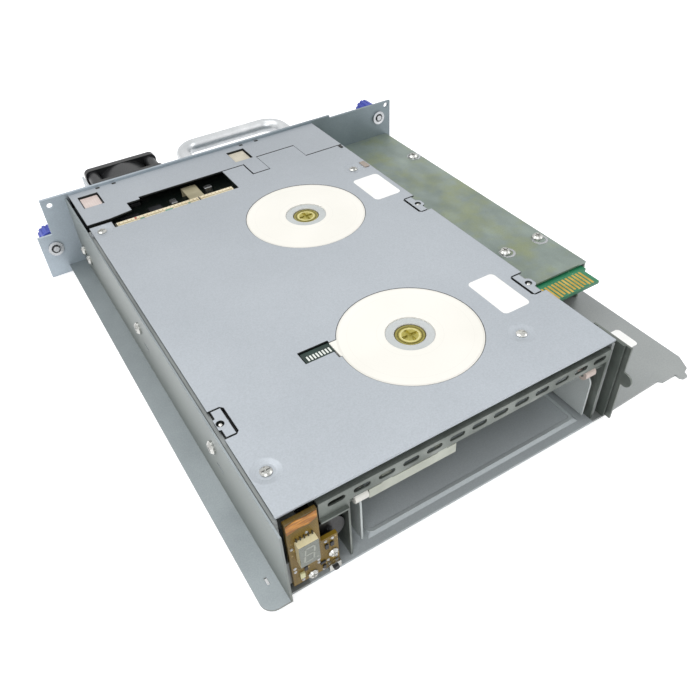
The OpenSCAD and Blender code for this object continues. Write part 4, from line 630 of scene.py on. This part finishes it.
def knob_blue():
    """Ribbed blue plastic on a steel screw, whose end shows inside the knob."""
    shade = Shade("knob_blue")
    steel = None
    for screw in ("left_thumbscrew", "right_thumbscrew"):
        near = shade.below(shade.far_from(middle(screw, 0, 2), 0, 2), KNOB_STEEL_RADIUS)
        steel = near if steel is None else shade.math("MAXIMUM", steel, near)
    fine = shade.noise(1500.0, detail=2.0)
    ribs = shade.node("ShaderNodeTexWave", Vector=shade.place, Scale=430.0)
    ribs.wave_type = "BANDS"
    ribs.bands_direction = "Y"
    colour = shade.mix(steel, shade.two_tone(shade.noise(120.0), "#2E3C9C", "#4656B8"),
                       linear("#B9BBBD"))
    height = shade.mix(steel, fine, ribs.outputs["Fac"])
    return shade.finish(colour, shade.spread(fine, 0.32, 0.46), height, 0.06 * MM,
                        edge=0.3 * MM, metal=steel)


MATERIALS = {
    "zinc_sheet": tray_metal(),
    "bright_sheet": sheet_metal("bright_sheet", "#B9BEC1", "#A9AFB3", metal=0.55),
    "dark_sheet": zinc_metal("dark_sheet", "#8F948F", "#747A75", "#585E59", metal=0.6),
    "chassis_sheet": deck_metal(),
    "cover_sheet": cover_metal(),
    "screw_steel": turned("screw_steel", "#D2D2CE", "#A9AAA7"),
    "ground_steel": turned("ground_steel", "#C6C8CA", "#A4A7AA"),
    "handle_aluminium": sheet_metal("handle_aluminium", "#D9DBDC", "#C6C9CB", metal=0.8,
                                    rough=(0.30, 0.42), blotch=40.0),
    "fan_plastic": moulded("fan_plastic", "#17181A", "#0F1011", rough=(0.30, 0.42)),
    "knob_blue": knob_blue(),
    "board_green": circuit("board_green", "#1E6A48", "#2C8159", "#7FA98A"),
    "plug_shell": turned("plug_shell", "#C9CCCE", "#A9ADB0", rough=(0.28, 0.42)),
    "disc_white": disc_white(),
    "hub_brass": turned("hub_brass", "#D9BE7A", "#A98A48", rough=(0.22, 0.38)),
    "coil_copper": turned("coil_copper", "#B5713F", "#8A4E28", rough=(0.30, 0.45)),
    "rotor_steel": turned("rotor_steel", "#8C8F92", "#6B6E71", rough=(0.28, 0.42)),
    "reel_plastic": moulded("reel_plastic", "#34353A", "#26272B"),
    "connector_green": motor_plug(),
    "connector_cream": moulded("connector_cream", "#E6DCC0", "#D2C6A6"),
    "flex_amber": moulded("flex_amber", "#A9A288", "#8D866B", rough=(0.30, 0.45)),
    "roller_white": moulded("roller_white", "#E9E8E2", "#D8D7D0"),
    "roller_pink": moulded("roller_pink", "#CDBFB7", "#B9A89F"),
    "carriage_sheet": sheet_metal("carriage_sheet", "#CFD5D4", "#BAC1C0", metal=0.30),
    "motor_case": moulded("motor_case", "#131415", "#0B0B0C", rough=(0.34, 0.48)),
    "screw_plastic": moulded("screw_plastic", "#E4DFCF", "#CFC9B6"),
    "head_ceramic": turned("head_ceramic", "#A4A6A9", "#7E8184", rough=(0.12, 0.2)),
    "board_brown": display_laminate(),
    "display_dark": digit_block(),
    "switch_case": turned("switch_case", "#C8C8C4", "#9C9C98"),
    "button_black": moulded("button_black", "#1C1C1C", "#121212"),
    "led_clear": moulded("led_clear", "#E4E3BE", "#CFCE9E", rough=(0.12, 0.2)),
    "pad_beige": window_pad(),
}

LABEL = moulded("label_white", "#F7F7F5", "#EFEFEC", rough=(0.45, 0.6), grain=900.0,
                depth=0.006 * MM, edge=0.0)
GOLD = turned("contact_gold", "#D9BA62", "#B8943A", rough=(0.30, 0.42), metal=0.7)
CHIP = moulded("chip_black", "#26272A", "#1A1B1D", rough=(0.40, 0.55), grain=2600.0)
TIN = turned("tin_plate", "#CDCFD0", "#A8AAAC", rough=(0.22, 0.36))
AMBER = amber_film()
SEGMENT = moulded("segment_pale", "#A6AAA1", "#969A91", rough=(0.3, 0.4))
CERAMIC = moulded("ceramic_tan", "#B79A6E", "#947A52", rough=(0.3, 0.45))
GREY = sheet_metal("recess_grey", "#C6CACA", "#B6BBBB", metal=0.2)
# Paler than the bay floor, as a painted highlight along the bead.
BEAD_HIGHLIGHT = sheet_metal("bead_zinc_highlight", "#C3CACC", "#B2B9BB", metal=0.35, rough=(0.30, 0.42))
FOAM = moulded("foam_tan", "#A79C92", "#8F857B", rough=(0.6, 0.75))
MINT = moulded("mint_plastic", "#6F9C86", "#577F6C", rough=(0.35, 0.5))
SCARLET = moulded("red_bead", "#B9483C", "#8F3027", rough=(0.3, 0.45))
SHADOW = moulded("gap_black", "#1B1C1C", "#111212", rough=(0.5, 0.65))

# Nodes that look different from others of their slot in the photograph
SPECIAL = {
    "left_rail": rail_metal(),
    "rear_panel": panel_metal(),
    "right_rail": zinc_metal("right_rail_zinc", "#7B827D", "#646B66", "#4C534E", metal=0.4),
    "motor_hubs": turned_hub(),
    "slot_bar": moulded("bar_grey", "#C3C7BB", "#ABAFA3"),
    "channel_cover": zinc_metal("channel_zinc", "#93A096", "#84908A", "#727E77", metal=0.45, tint="#8C9468"),
    "logic_board": circuit("logic_black", "#141917", "#1D2521", "#5B5946"),
}

for entry in frame["record"]["subparts"]:
    node = entry["node"]
    if node in frame["nodes"]:
        for slot in frame["nodes"][node].material_slots:
            slot.material = SPECIAL.get(node, MATERIALS[entry["material_slot"]])


# Pieces, whose sizes and places are in millimetres

BEVEL_SEGMENTS = 2


def box_mm(node):
    """Low and high corner of a node, to a ten-thousandth of a millimetre."""
    return [[round(value / MM, 4) for value in corner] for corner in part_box(node)]


def spot(a, b, height, axis):
    """Place of an outline's point: outlines lie on XY for axis Z and on XZ for axis Y."""
    return (a * MM, b * MM, height * MM) if axis == "Z" else (a * MM, height * MM, b * MM)


def add_rings(bm, outlines, axis="Z", tube=False):
    """Skin over outlines given with their heights, closed by caps or, for a tube, back to the first."""
    rings = [[bm.verts.new(spot(a, b, height, axis)) for a, b in outline] for outline, height in outlines]
    if tube:
        rings.append(rings[0])
    else:
        bm.faces.new(rings[0][::-1])
        bm.faces.new(rings[-1])
    for first, second in zip(rings, rings[1:]):
        for i in range(len(first)):
            bm.faces.new((first[i - 1], first[i], second[i], second[i - 1]))


def add_prism(bm, outline, low, high, axis="Z"):
    add_rings(bm, [(outline, low), (outline, high)], axis)


def add_washer(bm, centre, inner, outer, low, high, steps=48):
    small = ring_outline(*centre, inner, steps)
    large = ring_outline(*centre, outer, steps)
    add_rings(bm, [(small, low), (large, low), (large, high), (small, high)], tube=True)


def small_box(x, y, width, depth, corner=0.3):
    return rounded(x, y, width, depth, corner, steps=3)


def finish_piece(name, bm, material, bevel=0.0, smooth=False):
    mesh = bpy.data.meshes.new(name)
    bmesh.ops.recalc_face_normals(bm, faces=bm.faces)
    bm.to_mesh(mesh)
    bm.free()
    mesh.materials.append(material)
    piece = bpy.data.objects.new(name, mesh)
    bpy.context.scene.collection.objects.link(piece)
    if bevel:
        edge = piece.modifiers.new("edge", "BEVEL")
        edge.width = bevel * MM
        edge.segments = BEVEL_SEGMENTS
        edge.limit_method = "ANGLE"
    for face in mesh.polygons:
        face.use_smooth = smooth
    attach(piece, "drive")


def make_prisms(name, outlines, low, high, material, bevel=0.0, axis="Z"):
    """One piece of several prisms that have the same two heights."""
    bm = bmesh.new()
    for outline in outlines:
        add_prism(bm, outline, low, high, axis)
    finish_piece(name, bm, material, bevel)


def blank_labels():
    """Two labels on the cover and one on the wing of the tray, all blank."""
    right, _, cover_top = box_mm("top_cover")[1]
    wing_right = box_mm("base_tray")[1][0]
    tray_sheet, thick = 1.0, 0.07
    for name, place, size, corner, low in (
        ("cover_label_rear", (right - 10.0, 149.2), (14.9, 23.2), 2.2, cover_top),
        ("cover_label_front", (right - 17.6, 46.7), (13.6, 24.2), 2.0, cover_top),
        ("wing_label", (wing_right - 11.3, 26.4), (6.4, 12.6), 1.8, tray_sheet),
    ):
        make_prisms(name, [rounded(*place, *size, corner)], low, low + thick, LABEL)


def card_fingers():
    """Gold fingers on both faces of the card edge, of which every third is shorter."""
    low, high = box_mm("interface_board")
    count, pitch, width, thick = 12, 2.15, 1.2, 0.05
    first_x, rear = low[0] + 14.8, low[1] + 10.3
    front, short_front = low[1] + 0.5, low[1] + 1.3
    outlines = []
    for i in range(count):
        start = front if i % 3 else short_front
        outlines.append(small_box(first_x + pitch * i, (start + rear) / 2, width, rear - start))
    bm = bmesh.new()
    for bottom, top in ((high[2], high[2] + thick), (low[2] - thick, low[2])):
        for outline in outlines:
            add_prism(bm, outline, bottom, top)
    finish_piece("card_fingers", bm, GOLD)


def motor_rings():
    """Grey ring in each motor's recess, and a thin raised ring on each hub."""
    recess_radii, recess_floor, recess_thick = (6.5, 9.7), 42.4, 0.06
    hub_radii, hub_top, hub_thick = (4.6, 5.0), box_mm("motor_hubs")[1][2], 0.12
    for motor, (x, y) in zip(("supply", "takeup"), MOTORS):
        centre = (x / MM, y / MM)
        bm = bmesh.new()
        add_washer(bm, centre, *recess_radii, recess_floor, recess_floor + recess_thick)
        finish_piece(motor + "_recess_ring", bm, GREY)
        bm = bmesh.new()
        add_washer(bm, centre, *hub_radii, hub_top, hub_top + hub_thick)
        finish_piece(motor + "_hub_ring", bm, SPECIAL["motor_hubs"])


def edge_connector_parts():
    """Contacts, ribs, latches, a bead, and painted shade in the end joints of the long connector at the
    rear.
    """
    low, high = box_mm("edge_connector")
    front, rear, top = low[1], high[1], high[2]
    contacts, contact_pitch, contact_w, contact_l, contact_h = 30, 2.04, 0.5, 0.6, 0.06
    first_contact = low[0] + 1.6
    rows = (front + 0.8, front + 3.5)
    make_prisms("edge_contacts",
                [block(first_contact + contact_pitch * i, first_contact + contact_pitch * i + contact_w,
                       y, y + contact_l) for i in range(contacts) for y in rows],
                top, top + contact_h, CERAMIC)
    ribs, rib_pitch, rib_w, rib_out, rib_low, rib_high = 15, 4.08, 1.9, 0.9, 36.0, 40.6
    first_rib = low[0] + 2.8
    make_prisms("edge_connector_ribs",
                [block(first_rib + rib_pitch * i, first_rib + rib_pitch * i + rib_w, rear, rear + rib_out)
                 for i in range(ribs)],
                rib_low, rib_high, MATERIALS["connector_cream"], bevel=0.15)
    latch_y, latch_l, latch_h = front + 1.2, 2.0, 0.24
    make_prisms("edge_latches",
                [small_box((x0 + x1) / 2, latch_y, x1 - x0, latch_l)
                 for x0, x1 in ((-47.9, -45.7), (-34.8, -30.9), (-22.6, -21.4))],
                top, top + latch_h, MINT, bevel=0.08)
    bead_h = 0.2
    make_prisms("edge_marker", [small_box(-49.6, front + 3.8, 1.1, 1.3)], top, top + bead_h, SCARLET,
                bevel=0.08)
    # Painted shade: thin dark strips in the joints at the connector's ends.
    joint_w, joint_h = 0.6, 0.07
    make_prisms("edge_joint_shade", [block(x, x + joint_w, front, rear) for x in (-16.2, low[0])],
                top, top + joint_h, SHADOW)


def clip_pins():
    """Bright pin heads in the holes of the three clips, as rings of a radius and a height each."""
    profile = ((0.95, 41.3), (0.95, 42.2), (0.8, 42.5), (0.45, 42.72))
    pin_x = box_mm("top_cover")[1][0] - 2.7
    bm = bmesh.new()
    for x, y in ((-pin_x, 44.5), (pin_x, 45.0), (pin_x, 123.5)):
        add_rings(bm, [(ring_outline(x, y, radius, steps=20), z) for radius, z in profile])
    finish_piece("clip_pins", bm, MATERIALS["screw_steel"], smooth=True)


def bay_bead():
    """Rounded bead round the raised floor of the cartridge bay, in a paler sheet as a painted highlight."""
    left, right, front, rear = -37.6, 64.4, 2.4, 94.0
    base, top, width = 1.8, 2.05, 1.5
    corner, inner_corner = 2.4, 1.5
    centre = ((left + right) / 2, (front + rear) / 2)
    outer = rounded(*centre, right - left, rear - front, corner, steps=8)
    inner = rounded(*centre, right - left - 2 * width, rear - front - 2 * width, inner_corner, steps=8)
    bm = bmesh.new()
    add_rings(bm, [(inner, base), (outer, base), (outer, top), (inner, top)], tube=True)
    finish_piece("bay_bead", bm, BEAD_HIGHLIGHT, bevel=0.12)


def cover_marks():
    """Dark notches of painted shade along the rear edge, and a foam pad and a dark notch of painted shade on
    the right side.
    """
    right, _, top = box_mm("rear_cover")[1]
    notch_y = box_mm("rear_panel")[0][1] - 1.3
    notch_h, foam_h, side_notch_h = 0.04, 0.5, 0.3
    # The notches are thin dark sheets of painted shade.
    make_prisms("rear_notches", [small_box(x, notch_y, 2.2, 1.6) for x in (-56.8, -48.1, 26.1, 35.6)],
                top, top + notch_h, SHADOW)
    make_prisms("edge_foam", [small_box(right - 2.4, 172.6, 3.0, 6.4, corner=0.4)],
                top, top + foam_h, FOAM, bevel=0.15)
    # Painted shade: a thin dark sheet at a notch on the right side.
    make_prisms("edge_notch_shade", [small_box(right - 1.8, 198.0, 1.8, 3.4, corner=0.4)],
                top, top + side_notch_h, SHADOW, bevel=0.1)


def channel_rings():
    """Pressed rings by the three screws of the channel, up to 2 mm off the middles of the screws."""
    top = box_mm("channel_cover")[1][2]
    inner, outer, rise = 2.9, 4.1, 0.12
    bm = bmesh.new()
    for centre in ((121.9, 197.8), (120.9, 88.0), (99.8, 88.3)):
        add_washer(bm, centre, inner, outer, top, top + rise)
    finish_piece("channel_rings", bm, MATERIALS["ground_steel"])


def logic_parts():
    """Chips with their leads, cans and capacitors on the logic board.

    Each chip and can is a place, a width, a depth and a height.
    """
    board_top = box_mm("logic_board")[1][2]
    leaded = ((-50, 204, 10, 7, 2.2), (-36, 206, 7, 7, 2.0), (32, 205, 12, 12, 2.4))
    leadless = ((-30, 180, 14, 9, 2.4), (30, 182, 10, 10, 2.2), (-45, 221, 9, 6, 1.8))
    cans = ((-6, 208, 4.2, 3.2, 4.4), (-9.5, 203, 2.4, 2.0, 2.6), (-26, 207, 3.4, 5.0, 3.0))
    bm = bmesh.new()
    for x, y, width, depth, height in leaded + leadless:
        add_prism(bm, rounded(x, y, width, depth, 0.3, steps=2), board_top, board_top + height)
    finish_piece("logic_chips", bm, CHIP, bevel=0.2)
    lead_w, lead_l, lead_h = 0.4, 0.9, 0.35
    leads = []
    for cx, cy, width, depth, _ in leaded:
        for i in range(width):
            x = cx - width / 2 + i + 0.5
            for side in (-1, 1):
                y = cy + side * (depth + lead_l) / 2
                leads.append(block(x - lead_w / 2, x + lead_w / 2, y - lead_l / 2, y + lead_l / 2))
    make_prisms("logic_leads", leads, board_top, board_top + lead_h, TIN)
    bm = bmesh.new()
    for x, y, width, depth, height in cans:
        add_prism(bm, small_box(x, y, width, depth, corner=0.5), board_top, board_top + height)
    finish_piece("logic_cans", bm, TIN, bevel=0.2)
    count, first_x, pitch, row, step = 14, -44.0, 3.3, 198.2, 1.1
    cap_w, cap_l, cap_h = 1.0, 1.8, 0.9
    capacitors = []
    for i in range(count):
        x = first_x + pitch * i
        y = row + (i % 3) * step
        capacitors.append(block(x, x + cap_w, y, y + cap_l))
    make_prisms("logic_capacitors", capacitors, board_top, board_top + cap_h, CERAMIC,
                bevel=0.1)


def segment_bar(start, end, width, slant):
    """Six-sided bar of the digit, leaning to the right as it goes up."""
    (ax, az), (bx, bz) = ((x + slant * z, z) for x, z in (start, end))
    length = math.hypot(bx - ax, bz - az)
    along = ((bx - ax) / length * width / 2, (bz - az) / length * width / 2)
    aside = (-along[1], along[0])
    return [(ax, az),
            (ax + along[0] + aside[0], az + along[1] + aside[1]),
            (bx - along[0] + aside[0], bz - along[1] + aside[1]),
            (bx, bz),
            (bx - along[0] - aside[0], bz - along[1] - aside[1]),
            (ax + along[0] - aside[0], az + along[1] - aside[1])]


def digit_segments(face):
    """The seven segments of the digit and its point."""
    left, foot, width, height, gap = -66.6, 19.9, 3.4, 3.5, 0.1
    bars = []
    for row in range(3):
        bars.append(((gap, row * height), (width - gap, row * height)))
    for x in (0, width):
        for row in range(2):
            bars.append(((x, row * height + gap), (x, (row + 1) * height - gap)))
    thick, slant = 0.62, 0.12
    outlines = [[(left + x, foot + z) for x, z in segment_bar(start, end, thick, slant)]
                for start, end in bars]
    out = face - 0.05
    point = ring_outline(-61.7, 19.8, 0.45, steps=16)
    make_prisms("digit_segments", outlines, out, face, SEGMENT, axis="Y")
    make_prisms("digit_point", [point], out, face, SEGMENT, axis="Y")


def display_parts():
    """Film, digit, resistors and solder points on the front of the display board.

    Places are across and up. A resistor is a place, a width and a height, and a solder point is two steps
    of a radius and a height.
    """
    front = box_mm("display_board")[0][1]
    film_h, resistor_h = 0.12, 0.6
    solder_steps = ((0.62, 0.1), (0.36, 0.32))
    film = [(-70.2, 34.6), (-66.0, 35.6), (-62.4, 35.0), (-59.2, 36.4), (-59.1, 40.2), (-63.0, 39.6),
            (-66.6, 40.2), (-70.3, 39.2)]
    resistors = (
        (-66.0, 14.6, 2.0, 1.2), (-62.6, 14.6, 2.0, 1.2), (-57.0, 17.4, 1.3, 2.4), (-55.0, 17.6, 1.3, 2.2),
        (-65.4, 11.6, 1.2, 2.0), (-59.0, 9.4, 2.2, 1.2), (-58.6, 6.4, 1.2, 2.0),
    )
    solder_points = (
        (-69.3, 14.2), (-69.3, 12.2), (-69.3, 26.0), (-57.2, 20.2), (-54.6, 20.3), (-60.4, 12.2),
        (-60.4, 10.4), (-53.6, 8.6), (-56.9, 8.7), (-66.8, 5.2), (-58.8, 4.9), (-63.4, 31.0),
    )
    make_prisms("amber_tape", [film], front - film_h, front, AMBER, axis="Y")
    digit_segments(box_mm("digit_display")[0][1])
    make_prisms("display_resistors",
                [block(x - width / 2, x + width / 2, z - height / 2, z + height / 2)
                 for x, z, width, height in resistors],
                front - resistor_h, front, CHIP, bevel=0.12, axis="Y")
    bm = bmesh.new()
    for x, z in solder_points:
        for radius, out in solder_steps:
            add_prism(bm, ring_outline(x, z, radius, steps=14), front - out, front, "Y")
    finish_piece("solder_points", bm, TIN)


blank_labels()
card_fingers()
motor_rings()
edge_connector_parts()
clip_pins()
bay_bead()
cover_marks()
channel_rings()
logic_parts()
display_parts()
